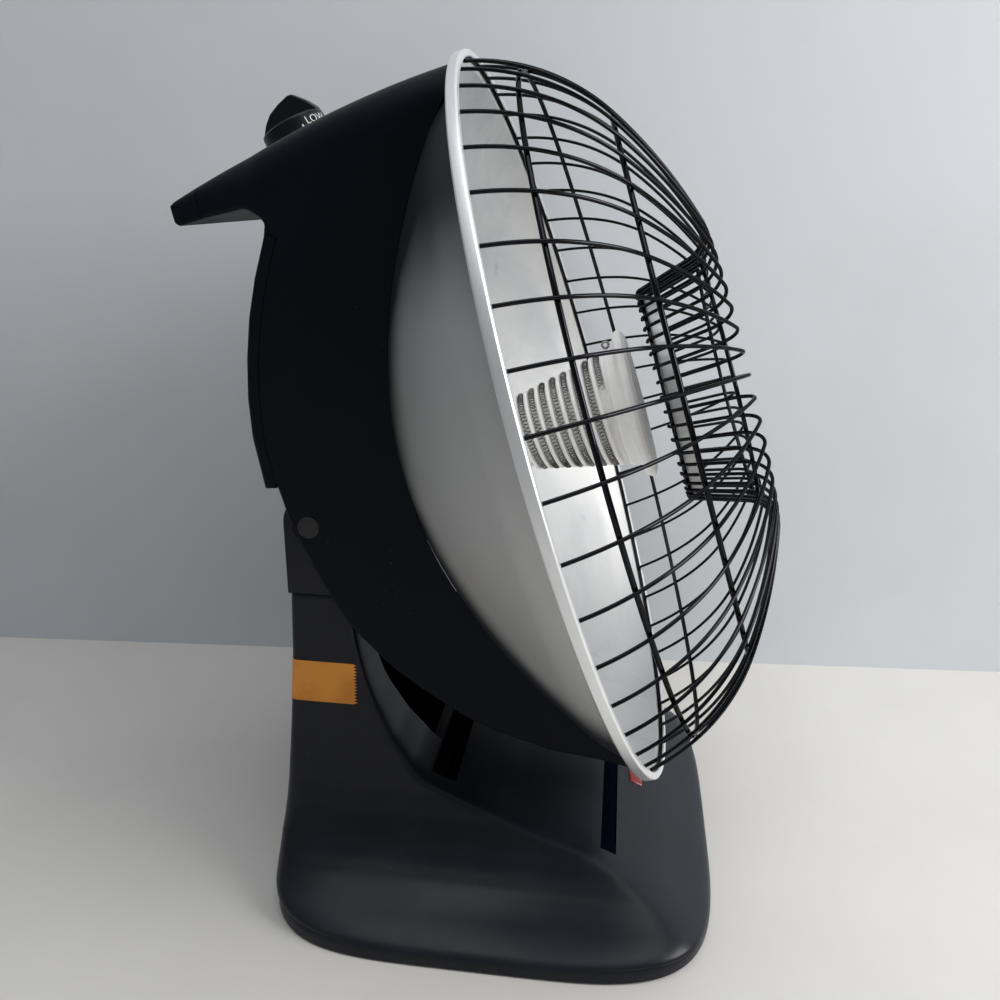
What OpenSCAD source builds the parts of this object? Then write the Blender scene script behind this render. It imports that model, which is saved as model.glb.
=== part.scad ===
// Parabolic heater: a spun dish with a domed wire grille and a wound ceramic
// element, in a housing that tilts on the column of a wide base.
// Front is -Y, up is +Z, and the origin is on the surface it stands on,
// under the middle of the whole heater.

/* [Base] */
// Width of the base at its foot
base_w = 304; // [290:1:320]
// Depth of the base at its foot
base_d = 274; // [268:1:284]
// How square the corners of the foot are
base_corner = 4.5; // [3.5:0.1:6]
// Height of the upright skirt round the foot
skirt_h = 9; // [6:0.5:12]
// Thickness of the moulded walls of the base
base_wall = 3; // [2:0.1:4]
// Height of the seam under the cap of the column
seam_z = 193; // [188:1:200]
// Half the width of the column
column_hw = 82; // [80:0.5:84]
// Height of the rubber feet
foot_h = 1.5; // [1:0.1:3]
// Radius of the rubber feet
foot_r = 9; // [6:0.5:12]

/* [Tilt] */
// Upward tilt of the dish
tilt = 18; // [9:1:28]
// Distance of the tilt pivot behind the middle of the base, near enough
pivot_y = 109.5; // [106:0.5:112]
// Height of the tilt pivot
pivot_z = 237; // [235:0.5:240]
// Radius of the pivot pin
pin_r = 4; // [3:0.1:5]
// Running clearance round pins and spindles
run_fit = 0.06; // [0.04:0.01:0.1]

/* [Dish] */
// Outer radius of the rim band
rim_r = 216; // [212:0.5:220]
// Width of the rim band
rim_w = 6; // [5.6:0.1:7]
// Thickness of the metal of the rim band
rim_t = 1.2; // [0.8:0.1:1.3]
// Depth of the dish from the face of the rim to its middle
dish_depth = 108; // [100:1:110]
// Thickness of the metal of the dish
dish_t = 1; // [0.6:0.1:1.1]
// Radius of the hole for the lamp holder
dish_hole_r = 21; // [20:0.5:24]

/* [Grille] */
// Number of wires from the rim to the hub
wire_n = 48; // [36:1:56]
// Radius of the grille wire
wire_r = 1; // [0.8:0.05:1.2]
// Radius of the wire of the two large rings
ring_wire_r = 1.4; // [1.2:0.05:1.8]
// Radius of the wire of the two small rings
small_ring_wire_r = 1.2; // [1:0.05:1.5]
// Depth of the lip on the plate in the hub of the grille
hub_lip = 9; // [5:0.5:12]

/* [Element] */
// Radius of the ceramic at its narrow end, at the bottom of the groove
cone_r0 = 18.8; // [17:0.2:20]
// Radius of the ceramic at its wide end, at the bottom of the groove
cone_r1 = 31.6; // [28:0.2:32]
// Distance of the narrow end of the ceramic behind the rim
cone_h0 = 38; // [34:0.5:42]
// Number of turns of the winding
coil_turns = 7.6; // [6.6:0.2:8]
// Distance from turn to turn of the winding
coil_pitch = 7.2; // [7:0.1:7.4]
// Outer radius of the curled wire of the winding
coil_r = 1.95; // [1.6:0.05:2]
// Height of the ridge between the turns
ridge_h = 3.7; // [2.5:0.1:4]
// Radius of the ceramic disc on the front of the element
disc_r = 45.6; // [42:0.2:50]

/* [Housing] */
// Half the width of the housing
house_hw = 88; // [87:0.5:92]
// Wall of the housing
house_wall = 2.5; // [2:0.1:3]
// Radius of the rounded edges along the top
top_round = 18; // [12:1:22]
// Radius of the long curve of the top from front to back
top_curve = 540; // [500:10:640]
// Depth of the rim of the back cover
cover_rim = 7; // [5:0.5:10]
// Gap of the seams between mouldings
seam = 0.2; // [0.1:0.05:0.3]

/* [Knob] */
// Radius of the foot of the thermostat knob
knob_r = 21; // [20:0.5:23]
// Height of the round part of the thermostat knob
knob_skirt = 18.5; // [16:0.5:20]
// Height of the grip of the knob above the housing
knob_h = 34; // [30:0.5:38]
// Radius of the spindle of the knob
spindle_r = 3; // [2.5:0.1:3.5]

/* [Hidden] */
eps = 0.01;
// The base is drawn from a point of its own, which lies this far from the middle of the whole
base_y = -8.7;
module placed() translate([0, base_y, 0]) children();

// Colours
c_black = [0.06, 0.06, 0.065];
c_dark = [0.03, 0.03, 0.035];
c_metal = [0.72, 0.72, 0.71];
c_ceramic = [0.86, 0.86, 0.83];
c_wire = [0.05, 0.05, 0.055];

// ---- outlines of the base, seen from the side as [y, z] ----
front_y = -base_d / 2 + 3;
rear_y = base_d / 2 + 3;
function side_top(zb) = [[front_y, zb], [front_y, skirt_h], [front_y + 2.5, skirt_h + 2.5],
    [-100, 28], [-63, 45], [-15, 58], [23, 71.5], [36, 76], [44, 80.5], [51, 87],
    [63, 103], [74, 125], [79.5, 140], [83, 153], [85.5, 166], [86.5, 178], [87, seam_z]];
function side_rear(zb) = [[126, seam_z], [127.5, 150], [130, 110], [132.5, 70], [135.5, 35],
    [rear_y - 2.5, skirt_h + 4], [rear_y, skirt_h], [rear_y, zb]];
// ---- the same seen from the front as [x, z], one half ----
function half_front(zb) = [[base_w / 2, zb], [base_w / 2, skirt_h],
    [base_w / 2 - 2.5, skirt_h + 3], [139, 16.5], [128, 21], [117, 27.5],
    [108, 35.5], [101, 45], [95.5, 57], [91, 72], [87.5, 90],
    [85, 110], [83, 132], [column_hw, 155], [column_hw, seam_z + 1]];

// Moves an outline inwards by d, corner by corner
function unit(v) = v / norm(v);
function left(v) = [-v[1], v[0]];
function inset(p, d) = let (n = len(p)) [for (i = [0 : n - 1])
    let (a = p[(i + n - 1) % n], b = p[i], c = p[(i + 1) % n],
         u = unit(b - a), w = unit(c - b), m = unit(left(u) + left(w)))
    b + m * d / max(0.4, m * left(u))];
function mirror_x(p) = [for (i = [len(p) - 1 : -1 : 0]) [-p[i][0], p[i][1]]];
function sgnpow(v, e) = sign(v) * pow(abs(v), e);
function foot_outline(dx, n = 72) = [for (i = [0 : n - 1]) let (a = i * 360 / n)
    [(base_w / 2 - dx) * sgnpow(cos(a), 2 / base_corner),
     (base_d / 2 - dx) * sgnpow(sin(a), 2 / base_corner) + 3]];

function side_outline(zb) = concat(side_rear(zb), side_top(zb));
function front_outline(zb) = concat(half_front(zb), mirror_x(half_front(zb)));

// Extrudes an outline of [y, z] along x
module along_x(w) rotate([90, 0, 90]) linear_extrude(w, center = true) children();
// Extrudes an outline of [x, z] along y
module along_y(w) rotate([90, 0, 0]) linear_extrude(w, center = true) children();

module base_block() intersection() {
    along_x(400) polygon(side_outline(foot_h));
    along_y(400) polygon(front_outline(foot_h));
    linear_extrude(260) polygon(foot_outline(0));
}
// The hollow of the base runs out through its underside
module base_hollow() intersection() {
    along_x(400) polygon(inset(side_outline(-10), -base_wall));
    along_y(400) polygon(inset(front_outline(-10), base_wall));
    translate([0, 0, -5]) linear_extrude(seam_z - 10) polygon(foot_outline(base_wall));
}

// Window and cross slot in the saddle behind the dish
window_hw0 = 53;
window_hw1 = 43;
cross_hw = 78;
cross_y0 = 27;
cross_y1 = 42;
module saddle_openings() {
    translate([0, 60, 0]) along_y(90) polygon([[-window_hw0, 158], [-window_hw0, 132],
        [-window_hw1, 90], [-window_hw1, 79], [window_hw1, 79], [window_hw1, 90],
        [window_hw0, 132], [window_hw0, 158]]);
    translate([-cross_hw, cross_y0, 60]) cube([2 * cross_hw, cross_y1 - cross_y0, 40]);
}

lens_hw = 90;
lens_t = 3;
lens_d = 10;
lens_y = -68;
top_slope = atan2(45 - 28, -63 + 100);
module on_slope(y) translate([0, y, 28 + (y + 100) * tan(top_slope)])
    rotate([top_slope, 0, 0]) children();
pilot_y = -85;
pilot_l = 14;
pilot_w = 10;
gland_z = 24;
gland_r = 6;
gland_x = 60;
gland_flange = gland_r + 2;
// The outside of the rear wall at a height between the skirt and the column
function rear_at(z) = let (p = side_rear(0)[4], q = side_rear(0)[5])
    p[0] + (q[0] - p[0]) * (p[1] - z) / (p[1] - q[1]);
gland_wall = [rear_at(gland_z - gland_flange), rear_at(gland_z + gland_flange)];
gland_y = max(gland_wall) + seam;
gland_in = min(gland_wall) - base_wall - seam - 0.05;

module base_shell() color(c_black) placed() difference() {
    base_block();
    difference() {
        base_hollow();
        // bosses for the screws of the bottom plate
        for (p = plate_screws) translate([p[0], p[1], foot_h + 2.4]) cylinder(r = 6, h = 90, $fn = 32);
    }
    difference() {
        saddle_openings();
        translate([-100, 100, 0]) cube([200, 60, 200]);
    }
    on_slope(lens_y) translate([-lens_hw - 0.15, -lens_d / 2 - 0.15, -8])
        cube([2 * lens_hw + 0.3, lens_d + 0.3, 16]);
    on_slope(pilot_y) translate([-pilot_l / 2 - 0.1, -pilot_w / 2 - 0.1, -8])
        cube([pilot_l + 0.2, pilot_w + 0.2, 16]);
    translate([gland_x, gland_in - 6, gland_z]) rotate([-90, 0, 0])
        cylinder(r = gland_r + 0.1, h = gland_y - gland_in + 20, $fn = 48);
    for (p = plate_screws) translate([p[0], p[1], foot_h]) cylinder(r = 1.75, h = 16, $fn = 24);
    // socket for the spigot of the column cap
    translate([0, 106, seam_z - spigot_h]) linear_extrude(20)
        square([2 * column_hw - 15.8, 28.2], center = true);
}

// The cap of the column holds the pin
cap_round = 17;
spigot_h = 9;
module column_cap() color(c_black) placed() difference() {
    union() {
        along_x(2 * column_hw) polygon([[87, seam_z + seam], [126, seam_z + seam],
            [pivot_y + cap_round, pivot_z - 4], [pivot_y + cap_round - 3, pivot_z],
            [pivot_y - cap_round + 3, pivot_z], [pivot_y - cap_round, pivot_z - 4]]);
        translate([0, pivot_y, pivot_z]) rotate([0, 90, 0])
            cylinder(r = cap_round, h = 2 * column_hw, center = true, $fn = 96);
        translate([0, 106, seam_z - spigot_h + seam]) linear_extrude(spigot_h + 2)
            square([2 * column_hw - 16, 28], center = true);
    }
    translate([0, pivot_y, pivot_z]) rotate([0, 90, 0])
        cylinder(r = pin_r, h = 200, center = true, $fn = 64);
    // the middle of the cap is open below
    translate([0, 105, seam_z - 20]) linear_extrude(36) square([2 * column_hw - 24, 20], center = true);
}

module pivot_pin() color(c_metal) placed() translate([0, pivot_y, pivot_z]) rotate([0, 90, 0])
    cylinder(r = pin_r, h = 2 * (house_hw - plug_depth) - 0.6, center = true, $fn = 64);

// ---- under the base ----
plate_screws = [for (sx = [-1, 1]) each [[sx * (base_w / 2 - 44), front_y + 42],
    [sx * (base_w / 2 - 48), rear_y - 44]]];
module bottom_plate() color(c_dark) placed() difference() {
    translate([0, 0, foot_h + 0.2]) linear_extrude(2) polygon(foot_outline(base_wall + 0.4));
    for (p = plate_screws) translate([p[0], p[1], 0]) cylinder(r = 2.2, h = 10, $fn = 24);
    translate([tip_x, tip_y, 0]) cylinder(r = tip_r + 0.4, h = 10, $fn = 48);
    for (p = feet) translate([p[0], p[1], 0]) cylinder(r = 3.1, h = 10, $fn = 32);
}

module bottom_screws() color(c_metal) placed() for (p = plate_screws) translate([p[0], p[1], foot_h - 1.1]) {
    cylinder(r = 3.6, h = 1.2, $fn = 32);
    cylinder(r = 1.7, h = 14, $fn = 24);
}

feet = [for (sx = [-1, 1]) each [[sx * (base_w / 2 - 34), front_y + 30],
    [sx * (base_w / 2 - 36), rear_y - 32]]];
module rubber_feet() color(c_dark) placed() for (p = feet) translate([p[0], p[1], 0]) {
    cylinder(r1 = foot_r - 0.5, r2 = foot_r, h = foot_h + 0.1, $fn = 48);
    cylinder(r = 3, h = foot_h + 4, $fn = 32);
}

// ---- light strip and lamp in the front slope ----
module footlight_lens() color([0.02, 0.02, 0.05]) placed() on_slope(lens_y)
    translate([-lens_hw, -lens_d / 2, -lens_t - 0.8]) cube([2 * lens_hw, lens_d, lens_t]);

module pilot_lens() color([0.75, 0.06, 0.05]) placed() on_slope(pilot_y) {
    translate([-pilot_l / 2, -pilot_w / 2, -3.5]) cube([pilot_l, pilot_w, 4]);
    translate([0, 0, 0.4]) intersection() {
        translate([-pilot_l / 2 + 0.6, -pilot_w / 2 + 0.6, 0]) cube([pilot_l - 1.2, pilot_w - 1.2, 2]);
        translate([0, 0, -38.6]) sphere(r = 40, $fn = 96);
    }
}

module pilot_lamp() color([0.9, 0.4, 0.3]) placed() on_slope(pilot_y) translate([0, 0, -16])
    cylinder(r = 3, h = 12.3, $fn = 32);

// ---- tip-over switch ----
tip_x = 0;
tip_y = 60;
tip_r = 7;
tip_travel = 6;
module tip_switch() color([0.12, 0.12, 0.12]) placed() translate([tip_x, tip_y, 0]) difference() {
    translate([-15, -14, foot_h + 2.3]) cube([30, 28, 26]);
    translate([0, 0, -1]) cylinder(r = tip_r + 0.3, h = 12, $fn = 48);
    cylinder(r = 2.6, h = 22, $fn = 32);
}

module tip_plunger() color(c_dark) placed() translate([tip_x, tip_y, 0]) {
    translate([0, 0, 0.05]) cylinder(r = tip_r, h = 5, $fn = 48);
    cylinder(r = 2.4, h = 18, $fn = 32);
}

module cord_gland() color(c_dark) placed() translate([gland_x, 0, gland_z]) rotate([-90, 0, 0])
    difference() {
        union() {
            translate([0, 0, gland_in - 4.5]) cylinder(r = gland_r, h = gland_y - gland_in + 12, $fn = 48);
            translate([0, 0, gland_y]) cylinder(r = gland_flange, h = 3, $fn = 48);
            translate([0, 0, gland_in - 3]) cylinder(r = gland_flange, h = 3, $fn = 6);
        }
        translate([0, 0, gland_in - 10]) cylinder(r = 3.6, h = gland_y - gland_in + 30, $fn = 32);
    }

// ==== the tilting head: x across, y up the dish, z forwards along its axis ====
pivot_v = -2;
pivot_h = -dish_depth - 45;
module in_head() placed() translate([0, pivot_y, pivot_z]) rotate([90 - tilt, 0, 0])
    translate([0, -pivot_v, -pivot_h]) children();

// ---- dish ----
seat_h = rim_w - rim_t;
open_r = rim_r - 8;
// A paraboloid that turns up more steeply over the last 14 mm
function dish_h(r) = -dish_depth + (dish_depth - rim_w) * pow(r / (rim_r - 3), 2)
    + edge_rise * pow(max(0, (r - open_r + 14) / 14), 2);
edge_rise = dish_depth - seat_h - (dish_depth - rim_w) * pow(open_r / (rim_r - 3), 2);
dish_steps = 26;
dish_rs = [for (i = [0 : dish_steps]) dish_hole_r + (open_r - dish_hole_r) * i / dish_steps];
flange_r = rim_r - rim_t - 0.3;
module reflector_dish() color(c_metal) in_head() difference() {
    rotate_extrude($fn = 144) polygon(concat([for (r = dish_rs) [r, dish_h(r)]],
        [[flange_r, -seat_h], [flange_r, -seat_h + dish_t]],
        [for (i = [dish_steps : -1 : 0]) [dish_rs[i] - dish_t * i / dish_steps / 2, dish_h(dish_rs[i]) + dish_t]]));
    for (sx = [-1, 1]) translate([sx * bracket_x, 0, -dish_depth - 5]) cylinder(r = 2, h = 20, $fn = 32);
}

lip_r = rim_r - 4;
rear_lip_r = rim_r - 7;
module rim_ring() color([0.8, 0.8, 0.79]) in_head() rotate_extrude($fn = 144)
    polygon([[rear_lip_r, -rim_w], [rim_r - 0.8, -rim_w], [rim_r, -rim_w + 0.8], [rim_r, -0.8],
        [rim_r - 0.8, 0], [lip_r, 0], [lip_r, -rim_t], [rim_r - rim_t, -rim_t],
        [rim_r - rim_t, -rim_w + rim_t], [rear_lip_r, -rim_w + rim_t]]);

// ---- grille: each wire is two long bends, a tight crest and a straight end ----
p_start = [rim_r - 5.5, -1.5];
p_ring1 = [rim_r - 16.9, 25.7];
p_ring2 = [rim_r - 55.1, 65.9];
hub_r = 62;
hub_h = 55;
crest_r = 17;
crest_c = [89.7, 81];
function circ3(a, b, c) = let (d = 2 * (a[0] * (b[1] - c[1]) + b[0] * (c[1] - a[1]) + c[0] * (a[1] - b[1])),
    a2 = a * a, b2 = b * b, c2 = c * c)
    [(a2 * (b[1] - c[1]) + b2 * (c[1] - a[1]) + c2 * (a[1] - b[1])) / d,
     (a2 * (c[0] - b[0]) + b2 * (a[0] - c[0]) + c2 * (b[0] - a[0])) / d];
function ang(p, c) = atan2(p[1] - c[1], p[0] - c[0]);
function at(c, r, a) = c + r * [cos(a), sin(a)];
bend1_c = circ3(p_start, p_ring1, p_ring2);
bend1_r = norm(p_start - bend1_c);
bend1_a0 = ang(p_start, bend1_c) - 0.35;
bend1_a1 = ang(p_ring2, bend1_c);
// the second bend leaves the first smoothly and ends on the crest
crest_a0 = 72;
crest_in = at(crest_c, crest_r, crest_a0);
chord = crest_in - p_ring2;
chord_a = atan2(chord[1], chord[0]);
turn = 2 * (chord_a - (bend1_a1 + 90));
bend2_r = norm(chord) / (2 * sin(abs(turn) / 2));
bend2_c = p_ring2 - bend2_r * [cos(bend1_a1), sin(bend1_a1)];
bend2_a1 = ang(crest_in, bend2_c);
// the funnel line is tangent to the crest and ends at the hub ring
hub_end = [hub_r + small_ring_wire_r + wire_r + 0.05, hub_h - 1.5];
hub_vec = hub_end - crest_c;
crest_a1 = atan2(hub_vec[1], hub_vec[0]) + 360 - acos(crest_r / norm(hub_vec));
crest_out = at(crest_c, crest_r, crest_a1);

module bend(c, r, a0, a1) translate([c[0], 0, c[1]]) rotate([90, 0, 0]) rotate([0, 0, a0])
    rotate_extrude(angle = a1 - a0, $fn = 96) translate([r, 0]) circle(r = wire_r, $fn = 24);
module rod(a, b, r) translate([a[0], 0, a[1]]) rotate([0, 90 - atan2(b[1] - a[1], b[0] - a[0]), 0])
    cylinder(r = r, h = norm(b - a), $fn = 24);

joint_gap = 0.1;
module part_bend(c, r, a0, a1, g0, g1) bend(c, r, a0 + g0 * joint_gap / r * 57, a1 - g1 * joint_gap / r * 57);
module joint_bead(p) translate([p[0], 0, p[1]]) sphere(r = wire_r * 1.1, $fn = 32);
module grille_wire() {
    part_bend(bend1_c, bend1_r, bend1_a0, bend1_a1, 0, 1);
    joint_bead(p_ring2);
    part_bend(bend2_c, bend2_r, bend1_a1, bend2_a1, 1, 1);
    joint_bead(crest_in);
    part_bend(crest_c, crest_r, crest_a0, crest_a1, 1, 1);
    joint_bead(crest_out);
    rod(crest_out + joint_gap * unit(hub_end - crest_out), hub_end, wire_r);
}
module grille_wires() color(c_wire) in_head()
    for (i = [0 : wire_n - 1]) rotate([0, 0, (i + 0.5) * 360 / wire_n]) grille_wire();

module ring_at(p, r) color(c_wire) in_head() rotate_extrude($fn = 144) translate(p) circle(r = r, $fn = 32);
rim_ring_c = [rim_r - 2.6, -2.5];
ring1_c = at(bend1_c, bend1_r - wire_r - ring_wire_r - 0.05, ang(p_ring1, bend1_c));
ring2_c = at(bend1_c, bend1_r - wire_r - ring_wire_r - 0.05, ang(p_ring2, bend1_c));
mouth_c = at(crest_c, crest_r + wire_r + small_ring_wire_r + 0.05, 148);
module grille_ring_rim() ring_at(rim_ring_c, 1.15);
module grille_ring_outer() ring_at(ring1_c, ring_wire_r);
module grille_ring_middle() ring_at(ring2_c, ring_wire_r);
module grille_ring_mouth() ring_at(mouth_c, small_ring_wire_r);
module grille_ring_hub() ring_at([hub_r, hub_h], small_ring_wire_r);

hub_plate_r = hub_r - small_ring_wire_r - 0.1;
module hub_plate() color([0.78, 0.78, 0.77]) in_head() rotate_extrude($fn = 96)
    polygon([[0, hub_h - 0.6], [hub_plate_r, hub_h - 0.6], [hub_plate_r, hub_h + hub_lip],
        [hub_plate_r - 0.8, hub_h + hub_lip], [hub_plate_r - 0.8, hub_h + 0.2], [0, hub_h + 0.2]]);

// ---- element: a tapered ceramic with a screw-like ridge, and a winding in its groove ----
cone_end = 3.8;
cone_l = coil_pitch * coil_turns + 2 * cone_end;
cone_h1 = -cone_h0 + cone_l;
function cone_r(h) = cone_r0 + (cone_r1 - cone_r0) * (h + cone_h0) / cone_l;
// Each turn of the ridge has four corners, at these shares of the pitch
ridge_u = [0.25, 0.37, 0.63, 0.75];
ridge_v = [0, 1, 1, 0];
cone_n = 32;
cone_rows = 4 * (ceil(cone_l / coil_pitch) + 1);
function cone_pt(i, j) = let (hh = -cone_h0 + coil_pitch * (floor(j / 4) + ridge_u[j % 4] + i / cone_n - 1.25),
        h = min(max(hh, -cone_h0), cone_h1), over = abs(hh - h), a = 360 * i / cone_n,
        r = cone_r(h) - over + (over > 0 ? 0 : ridge_h * ridge_v[j % 4]))
    [r * cos(a), r * sin(a), h];
cone_pts = concat([for (i = [0 : cone_n - 1]) for (j = [0 : cone_rows]) cone_pt(i, j)],
    [[0, 0, 1 - cone_h0], [0, 0, cone_h1 - 1]]);
cone_c = cone_n * (cone_rows + 1);
cone_top = cone_rows - 4;
function vi(i, j) = i < cone_n ? i * (cone_rows + 1) + j : j + 4;
cone_quads = [for (i = [0 : cone_n - 1]) for (j = [0 : (i < cone_n - 1 ? cone_rows : cone_top) - 1])
    [vi(i, j), vi(i, j + 1), vi(i + 1, j + 1), vi(i + 1, j)]];
cone_faces = concat([for (q = cone_quads) [q[0], q[1], q[3]]], [for (q = cone_quads) [q[1], q[2], q[3]]],
    [for (i = [0 : cone_n - 1]) [cone_c, vi(i, 0), vi(i + 1, 0)]],
    [for (j = [0 : 3]) [cone_c, j + 1, j]],
    [for (i = [0 : cone_n - 2]) [cone_c + 1, vi(i + 1, cone_rows), vi(i, cone_rows)]],
    [[cone_c + 1, cone_rows, vi(cone_n - 1, cone_top)]],
    [for (j = [cone_top : cone_rows - 1]) [cone_c + 1, vi(cone_n - 1, j), vi(cone_n - 1, j + 1)]]);
module element_cone() color(c_ceramic) in_head() difference() {
    polyhedron(points = cone_pts, faces = cone_faces, convexity = 8);
    // the two holes that the ends of the winding go into
    for (e = [[coil_c(coil_a0), -coil_t0], [coil_c(coil_a1), coil_t1]])
        let (c = e[0] + end_bend * e[1], d = radial(e[0]))
        translate(c - d * (end_bend + end_run + 0.3)) rotate([0, 90, atan2(d[1], d[0])])
            cylinder(r = coil_r + 0.6, h = 20, $fn = 32);
}

// The winding is one unbroken tube: a short end into the ceramic at each end and the turns between
coil_gap = 0.3;
coil_step = 24;
coil_a0 = 360 * (cone_end / coil_pitch + 0.25);
coil_a1 = coil_a0 + 360 * coil_turns;
function coil_h(a) = -cone_h0 + coil_pitch * (a / 360 - 0.25);
function coil_c(a) = let (r = cone_r(coil_h(a)) + coil_r + coil_gap) [r * cos(a), r * sin(a), coil_h(a)];
coil_rings = round(coil_step * coil_turns);
coil_turns_path = [for (i = [0 : coil_rings]) coil_c(coil_a0 + (coil_a1 - coil_a0) * i / coil_rings)];
// Each end turns inwards in a small bend and runs straight into its hole, square to the bottom of it
end_bend = 2.8;
end_run = 2 * coil_r;
function radial(p) = unit([p[0], p[1], 0]);
coil_t0 = unit(coil_turns_path[1] - coil_turns_path[0]);
coil_t1 = unit(coil_turns_path[coil_rings] - coil_turns_path[coil_rings - 1]);
function end_pts(p, t) = [for (a = [18 : 18 : 90]) p + end_bend * (sin(a) * t - (1 - cos(a)) * radial(p)),
    p + end_bend * t - (end_bend + end_run) * radial(p)];
coil_end0 = end_pts(coil_turns_path[0], -coil_t0);
coil_path = concat([for (i = [5 : -1 : 0]) coil_end0[i]], coil_turns_path,
    end_pts(coil_turns_path[coil_rings], coil_t1));
coil_last = len(coil_path) - 1;
function ring_tan(p, i) = unit(p[min(i + 1, len(p) - 1)] - p[max(i - 1, 0)]);
function ring_pts(c, t, r, n) = let (u = unit(cross(t, [0, 0, 1])), w = cross(u, t))
    [for (k = [0 : n - 1]) c + r * (cos(360 * k / n) * u + sin(360 * k / n) * w)];
coil_n = 6;
coil_pts = [for (i = [0 : coil_last]) each ring_pts(coil_path[i], ring_tan(coil_path, i), coil_r, coil_n)];
module tube(pts, rings, n) polyhedron(points = pts, faces = concat(
    [for (i = [0 : rings - 1]) for (k = [0 : n - 1]) let (m = (k + 1) % n)
        [i * n + k, i * n + m, i * n + n + k]],
    [for (i = [0 : rings - 1]) for (k = [0 : n - 1]) let (m = (k + 1) % n)
        [i * n + m, i * n + n + m, i * n + n + k]],
    [[for (k = [n - 1 : -1 : 0]) k]], [[for (k = [0 : n - 1]) rings * n + k]]), convexity = 8);
module element_coil() color([0.25, 0.24, 0.22]) in_head() tube(coil_pts, coil_last, coil_n);
coil_clear = min([for (i = [0 : 6 : coil_rings - coil_step]) for (j = [i + coil_step - 4 : i + coil_step + 4])
    if (j <= coil_rings) norm(coil_turns_path[j] - coil_turns_path[i])]) - 2 * coil_r;
echo(least_gap_of_winding_to_itself = coil_clear);

disc_h = cone_h1 + 11;
module element_disc() color(c_ceramic) in_head() rotate_extrude($fn = 96)
    polygon([[0, cone_h1 + 0.1], [cone_r1 + 3.6, cone_h1 + 0.1], [cone_r1 + 4.6, cone_h1 + 1.5],
        [cone_r1 + 5, disc_h - 5], [disc_r - 5, disc_h - 3.8], [disc_r - 1.2, disc_h - 2.3], [disc_r, disc_h],
        [disc_r - 1.2, disc_h + 2.3], [disc_r - 5, disc_h + 4], [0, disc_h + 5]]);
eyelet_r = 1.9;
module element_eyelet() color([0.3, 0.3, 0.3]) in_head() {
    translate([0, cone_r1 + 7.5, cone_h1 + 3]) rotate([0, 90, 0]) rotate_extrude($fn = 48)
        translate([eyelet_r, 0]) circle(r = 0.75, $fn = 24);
    translate([0, cone_r1 + 4.85, cone_h1 + 3]) rotate([-90, 0, 0]) cylinder(r = 0.7, h = 1, $fn = 24);
}
neck_h0 = -dish_depth + 16;
module element_neck() color(c_ceramic) in_head() rotate_extrude($fn = 72)
    polygon([[0, neck_h0], [15, neck_h0], [16.5, neck_h0 + 3], [16, neck_h0 + 7], [13.5, neck_h0 + 12],
        [13, -cone_h0 - 22], [15, -cone_h0 - 10], [cone_r0 - 1, -cone_h0 - 2],
        [cone_r0 - 1, -cone_h0 - 0.1], [0, -cone_h0 - 0.1]]);
module screw_shell() color([0.75, 0.62, 0.3]) in_head() rotate_extrude($fn = 72)
    polygon(concat([[0, neck_h0 - 31], [6, neck_h0 - 31], [9, neck_h0 - 27]],
        [for (i = [0 : 6]) each [[12.2, neck_h0 - 25.5 + 3.6 * i], [13.2, neck_h0 - 23.7 + 3.6 * i]]],
        [[12.6, neck_h0 - 0.1], [0, neck_h0 - 0.1]]));
holder_r = 19.6;
holder_h0 = -dish_depth - 25.5;
module lamp_holder() color(c_ceramic) in_head() difference() {
    holder_body();
    for (sx = [-1, 1]) translate([sx * bracket_x, 0, -dish_depth - 10]) cylinder(r = 2, h = 12, $fn = 32);
}
module holder_body() rotate_extrude($fn = 96)
    polygon([[0, holder_h0], [holder_r - 2, holder_h0], [holder_r, holder_h0 + 2],
        [holder_r, -dish_depth - 3.8], [33, -dish_depth - 3.8], [33, -dish_depth - 0.7],
        [holder_r, -dish_depth - 0.7], [holder_r, neck_h0 - 1.2], [holder_r - 1, neck_h0 - 0.2],
        [14, neck_h0 - 0.2], [14, neck_h0 - 31.2], [0, neck_h0 - 31.2]]);
bracket_x = 28;
module holder_bracket() color(c_metal) in_head() difference() {
    translate([0, 0, -dish_depth - 0.6]) linear_extrude(1.2) difference() {
        union() {
            circle(r = 34, $fn = 96);
            square([2 * bracket_x + 20, 20], center = true);
        }
        circle(r = holder_r + 0.1, $fn = 96);
        for (sx = [-1, 1]) translate([sx * bracket_x, 0]) circle(r = 2, $fn = 32);
    }
    // the middle of the dish dips into the plate
    rotate_extrude($fn = 96) polygon(concat([[0, -dish_depth + 5]],
        [for (r = [0 : 6 : 48]) [r, dish_h(r) - 0.1]], [[48, -dish_depth + 10]]));
}
module bracket_screws() color(c_metal) in_head() for (sx = [-1, 1]) translate([sx * bracket_x, 0, 0]) {
    translate([0, 0, dish_h(bracket_x) + dish_t + 0.7]) cylinder(r = 3.2, h = 1.8, $fn = 32);
    translate([0, 0, -dish_depth - 7]) cylinder(r = 1.75, h = dish_h(bracket_x) + dish_depth + 10, $fn = 24);
    translate([0, 0, -dish_depth - 6.8]) cylinder(r = 3.4, h = 2.9, $fn = 6);
}

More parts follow.
